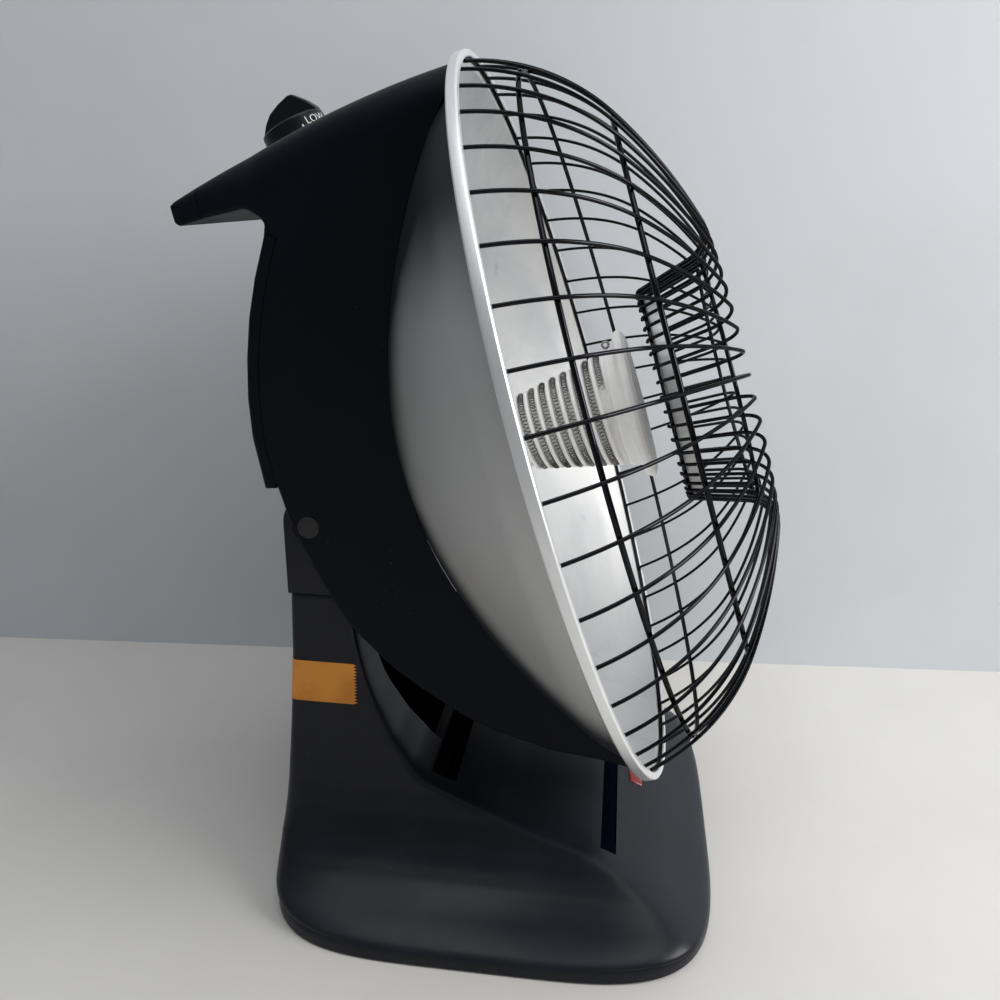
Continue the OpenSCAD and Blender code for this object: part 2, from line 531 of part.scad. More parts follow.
// ---- housing, seen from the side as [v, h] ----
// The outlines are drawn for a dish of this depth, and their back moves with the middle of the dish
drawn_depth = 108;
set_back = dish_depth - drawn_depth;
function moved(p) = [for (q = p) [q[0], q[1] - set_back * min(1, max(0, -q[1] / 100))]];
top_v = 202.7;
top_h = -14.5 - set_back;
house_top = [[top_v + 12, 20], [top_v + 12, -160.5], [182.6, -160.5]];
house_ledge = [[181, -163], [172.6, -163.7], [170.4, -161.7], [170.2, -149],
    [168.6, -126.6], [167.2, -123.7], [162, -119], [158.2, -117.6]];
house_back = [[152, -121], [134.6, -133], [116.3, -143.6], [96.8, -152.6], [76.4, -160.3],
    [54.8, -166], [25.5, -169.6], [26.4, -162.4]];
house_under = [[6, -162.3], [-9.8, -160.8], [-39.3, -156.3], [-67.4, -149.6], [-98.3, -133.3],
    [-112.9, -122.5], [-136.2, -103.3], [-151.8, -85], [-169, -59.5], [-181.8, -32.7], [-211.8, 20]];
house_side = moved(concat(house_top, house_ledge, house_back, house_under));
// The back cover follows this line, and ends square to it
cover_line = moved([[154.5, -119.6], [134.6, -133], [116.3, -143.6], [96.8, -152.6], [76.4, -160.3],
    [54.8, -166], [25.3, -169.6]]);
function beside(p, d) = [for (i = [0 : len(p) - 1])
    let (u = unit(p[max(i, 1)] - p[max(i, 1) - 1]), k = min(i + 1, len(p) - 1), w = unit(p[k] - p[k - 1]),
         m = unit(left(u) + left(w)))
    p[i] + m * d / (m * left(u))];
function reversed(p) = [for (i = [len(p) - 1 : -1 : 0]) p[i]];

module house_prism(d) along_x(2 * (house_hw - d)) polygon(d == 0 ? house_side : inset(house_side, -d));
// The top bends gently back in flat strips, with rounded shoulders
function arc_pts(c, r, a0, a1, n) = [for (i = [0 : n]) at(c, r, a0 + (a1 - a0) * i / n)];
top_bends = [-1, 3.1, 7.3, 11.5, 15.8];
module top_strip(a, d) let (r = top_round - d, w = house_hw - d, ro = top_curve - d)
    translate([0, top_v - top_curve, top_h]) rotate([-a, 0, 0]) linear_extrude(900, center = true)
        polygon(concat([[-w, ro - 480], [w, ro - 480]], arc_pts([w - r, ro - r], r, 0, 90, 6),
            arc_pts([r - w, ro - r], r, 90, 180, 6)));
module barrel(d) intersection_for(a = top_bends) top_strip(a, d);
module house_block(d) intersection() {
    house_prism(d);
    barrel(d);
}
// Everything in front of the back of the dish, with a gap
module dish_room() rotate_extrude($fn = 144) polygon(concat([[0, 20]],
    [for (r = [0 : 8 : 200]) [r, dish_h(r) - 0.4]],
    [[open_r + 0.4, -seat_h - 3.5], [open_r + 0.4, -rim_w - 0.3], [260, -rim_w - 0.3], [260, 20]]));
// The hollow is open underneath, where the column comes up between the cheeks
open_v = -105;
hollow_in = inset(house_side, -house_wall);
hollow_k = len(house_side) - 7;
hollow_pts = concat([for (i = [0 : len(house_side) - 13]) hollow_in[i]], moved([[28, -190], [open_v, -190]]),
    [hollow_in[hollow_k] + (hollow_in[hollow_k + 1] - hollow_in[hollow_k])
        * (open_v - hollow_in[hollow_k][0]) / (hollow_in[hollow_k + 1][0] - hollow_in[hollow_k][0])],
    [for (i = [hollow_k + 1 : len(house_side) - 1]) hollow_in[i]]);
module hollow() intersection() {
    along_x(2 * (house_hw - house_wall)) polygon(hollow_pts);
    barrel(house_wall);
}
module cover_zone(gap) along_x(260) polygon(concat(beside(cover_line, 8),
    reversed(beside(cover_line, -cover_rim - gap))));
module cap_zone(gap) along_x(260) polygon(moved([[210, -144.2 + gap], [160, -149.8 + gap],
    [160, -190], [210, -190]]));
pivot_at = [0, pivot_v, pivot_h];
plug_depth = 1.4;
plug_r = 6.4;
boss_r = 10;
knob_lean = 10.2;
knob_at = [0, top_v - top_curve * (1 - cos(knob_lean)), top_h - top_curve * sin(knob_lean)];
module on_top() translate(knob_at) rotate([-90 - knob_lean, 0, 0]) children();
// The nut clears the corner between the two strips under the knob
strip_corner = (top_bends[2] + top_bends[3]) / 2;
strip_half = (top_bends[3] - top_bends[2]) / 2;
nut_lift = top_curve * (cos(strip_corner - knob_lean) / cos(strip_half) - 1) + 0.1;
bushing_r = 5;

module housing_shell() color(c_black) in_head() difference() {
    union() {
        difference() {
            difference() {
                house_block(0);
                hollow();
            }
            dish_room();
            cover_zone(seam);
            cap_zone(seam);
        }
        // the bosses that the pin runs in
        for (s = [-1, 1]) translate(pivot_at) rotate([0, s * 90, 0])
            translate([0, 0, column_hw + 0.3]) cylinder(r = boss_r, h = house_hw - column_hw - 1, $fn = 64);
        // posts behind the screws of the back cover
        on_cover() translate([0, 0, -house_wall - 12.2]) cylinder(r = 5, h = 12, $fn = 48);
        on_cover() translate([0, -4, -house_wall - 12.2]) cube([10, 8, 11.8 + house_wall - cover_rim]);
    }
    on_cover() translate([0, 0, -20]) cylinder(r = 1.75, h = 30, $fn = 24);
    translate(pivot_at) rotate([0, 90, 0]) cylinder(r = pin_r + run_fit, h = 220, center = true, $fn = 64);
    for (s = [-1, 1]) translate(pivot_at) rotate([0, s * 90, 0])
        translate([0, 0, house_hw - plug_depth]) cylinder(r = plug_r - 1, h = 9, $fn = 48);
    on_top() translate([0, 0, -20]) cylinder(r = bushing_r + 0.1, h = 40, $fn = 48);
}
// The four screws of the back cover, square to its face
screw_x = 76;
cover_screws_at = [[2, 3], [4, 5]];
module on_cover() for (e = cover_screws_at)
    let (b = moved(house_back), p = b[e[0]], q = b[e[1]], m = (p + q) / 2)
    for (sx = [-1, 1]) scale([sx, 1, 1]) translate([screw_x, m[0], m[1]])
        rotate([atan2(q[1] - p[1], q[0] - p[0]), 0, 0]) children();
module back_cover() color(c_black) in_head() difference() {
    intersection() {
        difference() {
            house_prism(0);
            house_prism(house_wall);
        }
        cover_zone(0);
    }
    on_cover() translate([0, 0, -10]) cylinder(r = 2.1, h = 20, $fn = 24);
}
module cover_screws() color(c_metal) in_head() on_cover() {
    translate([0, 0, 0.05]) cylinder(r = 3.6, h = 1.6, $fn = 32);
    translate([0, 0, -house_wall - 8]) cylinder(r = 1.7, h = house_wall + 8.1, $fn = 24);
}
module grip_cap() color(c_black) in_head() intersection() {
    difference() {
        house_block(0);
        house_block(house_wall);
    }
    cap_zone(0);
}
module pivot_plugs() color(c_dark) in_head() for (sx = [-1, 1]) translate(pivot_at) rotate([0, sx * 90, 0])
    translate([0, 0, house_hw]) rotate_extrude($fn = 64)
        polygon([[0, 0.1 - plug_depth], [plug_r - 1.1, 0.1 - plug_depth], [plug_r - 1.1, 0.05],
            [plug_r, 0.05], [plug_r - 0.4, 0.7], [plug_r - 1.6, 1], [0, 1.1]]);

// ---- thermostat ----
body_w = 34;
module thermostat_body() color([0.15, 0.15, 0.15]) in_head() on_top() difference() {
    union() {
        translate([-body_w / 2, -15, -house_wall - 20]) cube([body_w, 30, 19.8]);
        translate([0, 0, -house_wall - 1]) cylinder(r = bushing_r, h = house_wall + 4, $fn = 48);
    }
    translate([0, 0, -15]) cylinder(r = spindle_r + run_fit, h = 40, $fn = 48);
}
module thermostat_nut() color(c_metal) in_head() on_top() difference() {
    translate([0, 0, nut_lift]) cylinder(r = 8, h = 2.4, $fn = 6);
    translate([0, 0, -1]) cylinder(r = bushing_r + 0.1, h = 6, $fn = 48);
}
module thermostat_spindle() color(c_metal) in_head() on_top()
    translate([0, 0, -12]) cylinder(r = spindle_r, h = 36, $fn = 48);
grip_w = 10;
module thermostat_knob() color(c_black) in_head() on_top() difference() {
    union() {
        rotate_extrude($fn = 96) polygon([[0, 1], [knob_r - 0.6, 1], [knob_r, 1.8], [knob_r - 0.6, 6],
            [knob_r - 1.6, 12], [knob_r - 2, knob_skirt - 1], [knob_r - 3, knob_skirt], [0, knob_skirt]]);
        intersection() {
            along_x(grip_w) polygon([[17, knob_skirt - 3], [17, knob_skirt + 1], [13, knob_skirt + 6.5],
                [8, knob_skirt + 11], [1, knob_h - 1.5], [-6, knob_h], [-9, knob_h - 0.4], [-14.8, knob_h - 7.7],
                [-19.4, knob_skirt], [-19.4, knob_skirt - 3]]);
            cylinder(r = knob_r - 2.2, h = 60, $fn = 96);
        }
    }
    translate([0, 0, -1]) cylinder(r = 12, h = 8, $fn = 64);
    translate([0, 0, -1]) cylinder(r = spindle_r, h = 25.1, $fn = 48);
}

base_shell();
column_cap();
bottom_plate();
bottom_screws();
rubber_feet();
footlight_lens();
pilot_lens();
pilot_lamp();
tip_switch();
tip_plunger();
cord_gland();
pivot_pin();
housing_shell();
back_cover();
cover_screws();
grip_cap();
pivot_plugs();
reflector_dish();
rim_ring();
grille_wires();
grille_ring_rim();
grille_ring_outer();
grille_ring_middle();
grille_ring_mouth();
grille_ring_hub();
hub_plate();
element_cone();
element_coil();
element_disc();
element_eyelet();
element_neck();
screw_shell();
lamp_holder();
holder_bracket();
bracket_screws();
thermostat_body();
thermostat_nut();
thermostat_spindle();
thermostat_knob();
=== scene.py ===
from functools import partialmethod
from math import acos, atan2, copysign, cos, degrees, dist, hypot, pi, radians, sin, sqrt, tan, tau

import bmesh
import bpy
import numpy as np
from mathutils import Matrix, Vector


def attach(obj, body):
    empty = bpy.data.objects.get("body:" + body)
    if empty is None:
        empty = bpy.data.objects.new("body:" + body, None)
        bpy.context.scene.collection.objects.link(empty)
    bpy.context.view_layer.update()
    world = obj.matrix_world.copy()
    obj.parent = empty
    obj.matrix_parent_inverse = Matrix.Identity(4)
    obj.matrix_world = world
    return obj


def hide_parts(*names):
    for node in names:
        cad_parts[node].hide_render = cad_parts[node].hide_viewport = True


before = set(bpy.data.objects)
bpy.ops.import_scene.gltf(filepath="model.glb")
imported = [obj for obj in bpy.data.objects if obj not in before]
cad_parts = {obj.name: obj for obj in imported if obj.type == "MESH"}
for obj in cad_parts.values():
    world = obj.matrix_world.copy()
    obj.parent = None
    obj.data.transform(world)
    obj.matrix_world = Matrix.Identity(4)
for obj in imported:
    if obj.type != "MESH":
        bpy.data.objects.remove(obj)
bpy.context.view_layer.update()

# Everything is drawn in millimetres and made in metres.
MM = 0.001
BASE_Y = -8.7
COLUMN_Y, PIN_Z = 109.5, 237
# The tilt pin, in the head's own drawing
PIN_V, PIN_H = -2, -153
TILT = radians(18)
SIN, COS = sin(TILT), cos(TILT)
AHEAD, UPWARDS = (0, -COS, SIN), (0, SIN, COS)
# Drawing of the head: x across, v up the dish, h forwards along its axis
HEAD = Matrix((
    (1, 0, 0, 0),
    (0, SIN, -COS, COLUMN_Y + BASE_Y - PIN_V * SIN + PIN_H * COS),
    (0, COS, SIN, PIN_Z - PIN_V * COS - PIN_H * SIN),
    (0, 0, 0, 1)))
UPRIGHT = Matrix.Translation((0, BASE_Y, 0))


def on_pin(side):
    """The place of a round piece on the tilt pin, facing left (-1) or right (1)."""
    return HEAD @ Matrix.Translation((0, PIN_V, PIN_H)) @ Matrix.Rotation(radians(90 * side), 4, "Y")


# ---- making meshes
def place_new(name, data):
    thing = bpy.data.objects.new(name, data)
    bpy.context.collection.objects.link(thing)
    return thing


def as_seen(thing):
    """The mesh of a thing with its modifiers worked out."""
    return bpy.data.meshes.new_from_object(thing.evaluated_get(bpy.context.evaluated_depsgraph_get()))


def make(name, verts, faces, place=UPRIGHT, crease=35):
    """A mesh piece from points in millimetres, smooth but for edges sharper than crease."""
    points = np.asarray(verts, float) @ np.array(place.to_3x3()).T + np.array(place.translation)
    mesh = bpy.data.meshes.new(name)
    mesh.from_pydata((points * MM).tolist(), [], faces)
    mesh.validate()
    mesh.shade_smooth()
    mesh.set_sharp_from_angle(angle=radians(crease))
    return place_new(name, mesh)


def unit(rows):
    return rows / np.linalg.norm(rows, axis=1)[:, None]


def run_along(path):
    """The distance from the start of a path to each of its points."""
    return np.concatenate([[0], np.cumsum(np.linalg.norm(np.diff(path, axis=0), axis=1))])


def polar(r, a, h):
    return (r * cos(a), r * sin(a), h)


def full_circle(steps):
    return [tau * k / steps for k in range(steps)]


def lace(rings, columns, closed=False, wrap=True):
    """Faces between rings of points, each ring with the same number of columns."""
    faces = []
    for i in range(rings if closed else rings - 1):
        for j in range(columns if wrap else columns - 1):
            a, b = i * columns + j, i * columns + (j + 1) % columns
            k = (i + 1) % rings * columns
            faces.append((a, b, k + (j + 1) % columns, k + j))
    return faces


def loft(name, rings, place=UPRIGHT, crease=35):
    """A solid skin through closed rings, with a flat face at each end."""
    n, m = len(rings), len(rings[0])
    faces = lace(n, m) + [tuple(range(m - 1, -1, -1)), tuple(range((n - 1) * m, n * m))]
    return make(name, np.concatenate(rings), faces, place, crease)


def round_off(points, radius, steps=5, closed=True):
    """Rounds the corners of an outline; radius is one number, or one for each corner."""
    out, n = [], len(points)
    for i, p in enumerate(points):
        r = radius[i] if isinstance(radius, (list, tuple)) else radius
        if not r or (not closed and i in (0, n - 1)):
            out.append(tuple(p))
            continue
        p = np.array(p, float)
        a, b = np.array(points[i - 1], float) - p, np.array(points[(i + 1) % n], float) - p
        la, lb = np.linalg.norm(a), np.linalg.norm(b)
        ua, ub = a / la, b / lb
        half = acos(max(-1, min(1, float(ua @ ub)))) / 2
        if half > 1.55:
            out.append(tuple(p))
            continue
        cut = min(r / tan(half), 0.49 * la, 0.49 * lb)
        r = cut * tan(half)
        centre = p + (ua + ub) / np.linalg.norm(ua + ub) * r / sin(half)
        start, end = p + ua * cut - centre, p + ub * cut - centre
        a0 = atan2(start[1], start[0])
        turn = (atan2(end[1], end[0]) - a0 + pi) % tau - pi
        for k in range(steps + 1):
            t = a0 + turn * k / steps
            out.append((centre[0] + r * cos(t), centre[1] + r * sin(t)))
    return out


def spin(name, outline, steps=192, place=HEAD, crease=35):
    """A solid of revolution about the axis of its drawing, from a closed outline of (r, h)."""
    outline = [(max(r, 0.0), h) for r, h in outline]
    verts, faces, rows = [], [], []
    for r, h in outline:
        rows.append(len(verts) if r > 1e-6 else -len(verts) - 1)
        if r > 1e-6:
            verts += [polar(r, a, h) for a in full_circle(steps)]
        else:
            verts.append((0, 0, h))
    for i in range(len(outline)):
        a, b = rows[i], rows[(i + 1) % len(outline)]
        for k in range(steps):
            m = (k + 1) % steps
            if a >= 0 and b >= 0:
                faces.append((a + k, a + m, b + m, b + k))
            elif a >= 0:
                faces.append((a + k, a + m, -b - 1))
            elif b >= 0:
                faces.append((-a - 1, b + m, b + k))
    if area_of(outline) < 0:
        faces = [f[::-1] for f in faces]
    return make(name, verts, faces, place, crease)


def cross_frames(path, closed):
    """Two cross directions at each point of a path, carried along it without twist."""
    ahead = np.roll(path, -1, 0) - np.roll(path, 1, 0)
    if not closed:
        ahead[0], ahead[-1] = path[1] - path[0], path[-1] - path[-2]
    ahead = unit(ahead)
    side = np.cross(ahead[0], (0, 0, 1))
    if np.linalg.norm(side) < 0.1:
        side = np.cross(ahead[0], (0, 1, 0))
    sides = []
    for t in ahead:
        side = side - t * (side @ t)
        side /= np.linalg.norm(side)
        sides.append(side)
    sides = np.array(sides)
    return sides, np.cross(ahead, sides)


def tube_mesh(path, radius, sides, closed=False):
    """Points and faces of a round tube along a path."""
    path = np.asarray(path, float)
    u, w = cross_frames(path, closed)
    a = np.arange(sides) * tau / sides
    round_it = np.cos(a)[None, :, None] * u[:, None] + np.sin(a)[None, :, None] * w[:, None]
    rings = path[:, None] + radius * round_it
    n = len(path)
    faces = lace(n, sides, closed)
    if not closed:
        faces += [tuple(range(sides - 1, -1, -1)), tuple(range((n - 1) * sides, n * sides))]
    return rings.reshape(-1, 3), faces


def tube(name, path, radius, sides, closed=False):
    return make(name, *tube_mesh(path, radius, sides, closed), HEAD, 50)


def turn_left(q):
    return np.stack([-q[:, 1], q[:, 0]], 1)


def inwards(outline, depth):
    """Moves an anticlockwise outline inwards; depth is one number or one for each point."""
    p = np.asarray(outline, float)
    u, w = unit(p - np.roll(p, 1, 0)), unit(np.roll(p, -1, 0) - p)
    m = unit(turn_left(u) + turn_left(w))
    reach = np.maximum(0.5, (m * turn_left(u)).sum(1))
    return p + m * (np.asarray(depth, float) / reach)[:, None]


def area_of(p):
    """Twice the area inside an outline, negative when it runs clockwise."""
    return sum(a[0] * b[1] - b[0] * a[1] for a, b in zip(p, p[1:] + p[:1]))


def box(x, y):
    return [(-x, -y), (x, -y), (x, y), (-x, y)]


def anticlockwise(p):
    """The points of an outline, turned round if it runs clockwise."""
    p = [tuple(q) for q in p]
    return np.array(p if area_of(p) > 0 else p[::-1])


def slab(name, outline, half, edge, place=UPRIGHT, steps=5):
    """An outline of (y, z) carried across x; edge is the rounding of its rims, or one for each point."""
    p = anticlockwise(outline)
    edge = np.broadcast_to(np.asarray(edge, float), len(p))
    rings = []
    for sx in (-1, 1):
        for k in range(steps + 1):
            t = radians(90 * (k if sx < 0 else steps - k) / steps)
            q = inwards(p, edge * (1 - sin(t)))
            x = sx * (half - edge * (1 - cos(t)))
            rings.append(np.column_stack([x, q]))
    return loft(name, rings, place)


def split_faces(mesh):
    """Triangles in place of the faces with many corners, which keeps their cut parts simple."""
    split = bmesh.new()
    split.from_mesh(mesh)
    bmesh.ops.triangulate(split, faces=[f for f in split.faces if len(f.verts) > 4])
    split.to_mesh(mesh)
    split.free()


def refill_sides(mesh):
    """Fills the flat faces square to x anew, where cutting left some of them folded over."""
    work = bmesh.new()
    work.from_mesh(mesh)
    planes = {}
    for face in work.faces:
        if abs(face.normal.x) > 0.9999:
            planes.setdefault(round(face.calc_center_median().x, 5), []).append(face)
    for faces in planes.values():
        areas = [sum(f.calc_area() for f in faces if way * f.normal.x > 0) for way in (1, -1)]
        if not all(areas):
            continue
        inside = set(faces)
        rim = [e for f in faces for e in f.edges if sum(g in inside for g in e.link_faces) == 1]
        bmesh.ops.delete(work, geom=faces, context="FACES_ONLY")
        loose = [e for e in work.edges if not e.link_faces]
        bmesh.ops.delete(work, geom=loose, context="EDGES")
        rim = [e for e in set(rim) if e.is_valid]
        filled = bmesh.ops.triangle_fill(work, edges=rim, use_beauty=False)["geom"]
        for face in filled:
            if isinstance(face, bmesh.types.BMFace) and (face.normal.x > 0) != (areas[0] > areas[1]):
                face.normal_flip()
    work.to_mesh(mesh)
    work.free()


def cut(piece, *cutters, operation="DIFFERENCE", crease=35, refill=False):
    """Takes cutters away from a piece, or joins or crosses them with it."""
    for cutter in cutters:
        split_faces(piece.data)
        split_faces(cutter.data)
        step = piece.modifiers.new("cut", "BOOLEAN")
        step.operation, step.solver, step.object = operation, "MANIFOLD", cutter
        mesh = as_seen(piece)
        piece.modifiers.clear()
        old, piece.data = piece.data, mesh
        bpy.data.meshes.remove(old)
        mesh.name = piece.name
        bpy.data.objects.remove(cutter)
    split_faces(piece.data)
    if refill:
        refill_sides(piece.data)
    piece.data.shade_smooth()
    piece.data.set_sharp_from_angle(angle=radians(crease))
    return piece


def even_shading(piece):
    step = piece.modifiers.new("even shading", "WEIGHTED_NORMAL")
    step.keep_sharp = True
    return piece


def join(name, pieces):
    """One piece from several, in the place of the first."""
    verts, faces, start = [], [], 0
    for p in pieces:
        verts += [tuple(v.co / MM) for v in p.data.vertices]
        faces += [[i + start for i in f.vertices] for f in p.data.polygons]
        start += len(p.data.vertices)
        bpy.data.objects.remove(p)
    return make(name, verts, faces, Matrix.Identity(4))


# ---- finishes
class Value:
    """A socket that can be reckoned with."""

    def __init__(self, finish, socket):
        self.finish, self.socket = finish, socket

    def reckon(self, operation, *others, clamp=False):
        return self.finish.node("ShaderNodeMath", {"operation": operation, "use_clamp": clamp},
                                dict(enumerate((self, *others))))

    __add__ = partialmethod(reckon, "ADD")
    __sub__ = partialmethod(reckon, "SUBTRACT")
    __mul__ = partialmethod(reckon, "MULTIPLY")
    __pow__ = partialmethod(reckon, "POWER")
    above = partialmethod(reckon, "MAXIMUM")
    size = partialmethod(reckon, "ABSOLUTE")
    within = partialmethod(reckon, "ADD", 0.0, clamp=True)


class Finish:
    """A procedural material of one shader, with the patterns that this heater needs."""

    def __init__(self, name, colour=(0.8, 0.8, 0.8), **constants):
        self.material = bpy.data.materials.new(name)
        self.material.use_nodes = True
        self.tree = self.material.node_tree
        self.shader = self.tree.nodes["Principled BSDF"]
        self.shader.inputs["Base Color"].default_value = (*colour, 1)
        for socket, value in constants.items():
            self.shader.inputs[socket.replace("_", " ")].default_value = value

    def node(self, kind, settings=None, inputs=None, out=0):
        made = self.tree.nodes.new(kind)
        for key, value in (settings or {}).items():
            setattr(made, key, value)
        for key, value in (inputs or {}).items():
            if isinstance(value, Value):
                self.tree.links.new(value.socket, made.inputs[key])
            elif isinstance(value, tuple) and len(value) == 3 and made.inputs[key].type == "RGBA":
                made.inputs[key].default_value = (*value, 1)
            else:
                made.inputs[key].default_value = value
        return Value(self, made.outputs[out])

    def feed(self, **links):
        for socket, value in links.items():
            self.tree.links.new(value.socket, self.shader.inputs[socket.replace("_", " ")])
        return self

    def place(self):
        return self.node("ShaderNodeTexCoord", out="Object")

    def along(self, axis):
        return self.node("ShaderNodeSeparateXYZ", inputs={0: self.place()}, out=axis)

    def stretched(self, x, y, z, turn=(0, 0, 0)):
        return self.node("ShaderNodeMapping", inputs={
            "Vector": self.place(), "Scale": (x, y, z), "Rotation": turn})

    def cloud(self, scale, detail=3, roughness=0.5, where=None, distortion=0.0):
        return self.node("ShaderNodeTexNoise", inputs={
            "Vector": where or self.place(), "Scale": scale, "Detail": detail,
            "Roughness": roughness, "Distortion": distortion})

    def specks(self, scale, size, group, low, high):
        """Small dots that lie in loose groups."""
        grains = self.node("ShaderNodeTexVoronoi", inputs={"Vector": self.place(), "Scale": scale})
        return self.ease(grains, 0.0, size, 1.0, 0.0) * self.ease(self.cloud(group, 2), low, high)

    def ease(self, value, low, high, to_low=0.0, to_high=1.0):
        return self.node("ShaderNodeMapRange", {"interpolation_type": "SMOOTHSTEP"}, {
            "Value": value, "From Min": low, "From Max": high, "To Min": to_low, "To Max": to_high})

    def mix(self, share, one, two):
        return self.node("ShaderNodeMix", {"data_type": "RGBA"}, {"Factor": share, 6: one, 7: two}, out=2)

    def relief(self, height, depth, strength=0.5, under=None):
        inputs = {"Height": height, "Distance": depth, "Strength": strength}
        if under:
            inputs["Normal"] = under
        return self.node("ShaderNodeBump", inputs=inputs)

    def vector_maths(self, operation, *vectors, out=0):
        return self.node("ShaderNodeVectorMath", {"operation": operation}, dict(enumerate(vectors)), out)

    def part_along(self, vector, way):
        """How far a vector reaches in a direction."""
        return self.vector_maths("DOT_PRODUCT", vector, way, out="Value")

    def facing(self, way):
        """1 where the surface faces in a direction, and -1 where it faces away from it."""
        return self.part_along(self.node("ShaderNodeNewGeometry", out="Normal"), way)

    def from_dish_middle(self):
        return self.vector_maths("SUBTRACT", self.place(), tuple(HEAD.translation * MM))

    def up_the_dish(self):
        """Distance up the dish from its axis, in metres."""
        return self.part_along(self.from_dish_middle(), UPWARDS)

    def tooling(self, scale):
        """The rings that a spinning tool leaves round the axis of the dish."""
        offset = self.from_dish_middle()
        along = self.part_along(offset, AHEAD)
        length = self.vector_maths("LENGTH", offset, out="Value")
        radius = (length * length - along * along).above(0.0) ** 0.5
        return self.cloud(1.0, 3, 0.7, self.node("ShaderNodeCombineXYZ", inputs={0: radius * scale}))


def moulding(name, dark, pale, low, high, grain=0.00003, gloss=0.3):
    """Black moulded plastic: fine spark grain, rubbed patches, a film of dust and a few specks."""
    f = Finish(name, dark, Specular_IOR_Level=gloss)
    rubbed = f.ease(f.cloud(14, 5, 0.6), 0.35, 0.7)
    dust = f.ease(f.cloud(3.2, 4, 0.55), 0.45, 0.8)
    specks = f.specks(210, 0.11, 25, 0.56, 0.62)
    scuffs = f.ease(f.cloud(60, 4, 0.7, f.stretched(1, 7, 0.6, (0.4, 0.2, 0.5))), 0.66, 0.74)
    settled = f.ease(f.facing((0, 0, 1)), 0.15, 0.85) * f.ease(f.cloud(30, 4, 0.6), 0.2, 0.7, 0.6, 1.0)
    film = (dust * 0.3 + rubbed * 0.2 + scuffs * 0.3 + settled * 0.5).within()
    colour = f.mix(specks * 0.4, f.mix(film, dark, pale), (0.22, 0.22, 0.21))
    rough = f.ease(rubbed * 0.6 + dust * 0.4, 0.0, 1.0, low, high) + scuffs * 0.1
    spark = f.cloud(1900, 2, 0.6)
    return f.feed(Base_Color=colour, Roughness=rough.within(),
                  Normal=f.relief(spark, grain, 0.35, f.relief(f.cloud(24, 2), 0.0004, 0.08)))


def bright_metal(name, colour, dull, low, high, rings=0.0, scratch=0.2, dents=0.25, **constants):
    """Bare sheet or wire: soft marks of the spinning tool, scratches and dull patches."""
    f = Finish(name, colour, **{"Metallic": 1.0, **constants})
    patches = f.ease(f.cloud(9, 5, 0.6, distortion=0.6), 0.35, 0.72)
    scratches = f.ease(f.cloud(90, 3, 0.7, f.stretched(1, 14, 1.5, (0.3, 0.9, 0.1))), 0.6, 0.7) * scratch
    rough = f.ease(patches, 0.0, 1.0, low, high) + scratches * 0.25
    height = f.cloud(420, 3, 0.7)
    if rings:
        tooled = f.tooling(900)
        rough = rough + (tooled - 0.5) * rings
        height = height * 0.3 + tooled
    return f.feed(Base_Color=f.mix((patches * 0.5 + scratches).within(), colour, dull),
                  Roughness=rough.within(), Normal=f.relief(height, 0.00006, dents))


def dish_sheet_finish():
    """Spun sheet: clean inside; outside with a darker tone, and painted shade for the housing's reflection
    and shadow beside it and over the upper part of the dish.
    """
    f = Finish("spun dish sheet", (0.8, 0.8, 0.79), Metallic=1.0)
    tooled = f.tooling(700)
    patches = f.ease(f.cloud(8, 5, 0.6, distortion=0.8), 0.35, 0.75)
    stains = f.ease(f.cloud(30, 4, 0.6, f.stretched(1.6, 1, 0.7)), 0.62, 0.72)
    # painted shade: the outside darkens beside the housing's cheek, where the metal reflects and is shadowed
    # by the black housing
    across = f.along(0).size()
    cheek = (f.up_the_dish() * -0.5).above(0.0) + 0.088
    shade = f.ease(across - cheek + (f.cloud(22, 3) - 0.5) * 0.012, -0.004, 0.040, 1.0, 0.0)
    outside = f.ease(f.facing(AHEAD), -0.05, 0.05, 1.0, 0.0)
    clean = f.mix((patches * 0.7 + stains * 0.35).within(), (0.67, 0.67, 0.665), (0.47, 0.48, 0.50))
    # painted shade: the outside darkens towards the top of the dish, under the housing
    upper = f.ease(f.up_the_dish() + (f.cloud(16, 2) - 0.5) * 0.02, 0.080, 0.150)
    # a darker tone for the outside of the sheet: painted shade of the dark room that it reflects
    clean = f.mix(outside, clean, (0.56, 0.565, 0.565))
    # the painted shade takes the outside of the sheet near to black
    colour = f.mix((shade + upper).within() * outside * 0.93, clean, (0.022, 0.025, 0.032))
    rough = f.ease(patches, 0.0, 1.0, 0.56, 0.64) + (tooled - 0.5) * 0.05 + stains * 0.06
    return f.feed(Base_Color=colour, Roughness=rough.within(), Normal=f.relief(tooled, 0.00004, 0.12))


def ceramic_finish(name, low, high):
    f = Finish(name, (0.82, 0.82, 0.8), Roughness=0.6, Specular_IOR_Level=0.4)
    stain = f.ease(f.cloud(40, 5, 0.6), 0.4, 0.75)
    pits = f.specks(900, 0.25, 160, 0.5, 0.6)
    colour = f.mix((stain * 0.5 + pits * 0.3).within(), (0.90, 0.895, 0.88), (0.72, 0.70, 0.67))
    return f.feed(Base_Color=colour, Roughness=f.ease(stain, 0.0, 1.0, low, high),
                  Normal=f.relief(f.cloud(1200, 3, 0.6) + pits * -0.6, 0.00012, 0.35))


def wound_wire_finish():
    f = Finish("resistance wire", (0.5, 0.49, 0.47), Metallic=1.0)
    burnt = f.ease(f.cloud(60, 4), 0.35, 0.7)
    return f.feed(Base_Color=f.mix(burnt, (0.30, 0.295, 0.29), (0.11, 0.105, 0.10)),
                  Roughness=f.ease(burnt, 0.0, 1.0, 0.34, 0.55),
                  Normal=f.relief(f.cloud(2500, 2), 0.00003, 0.3))


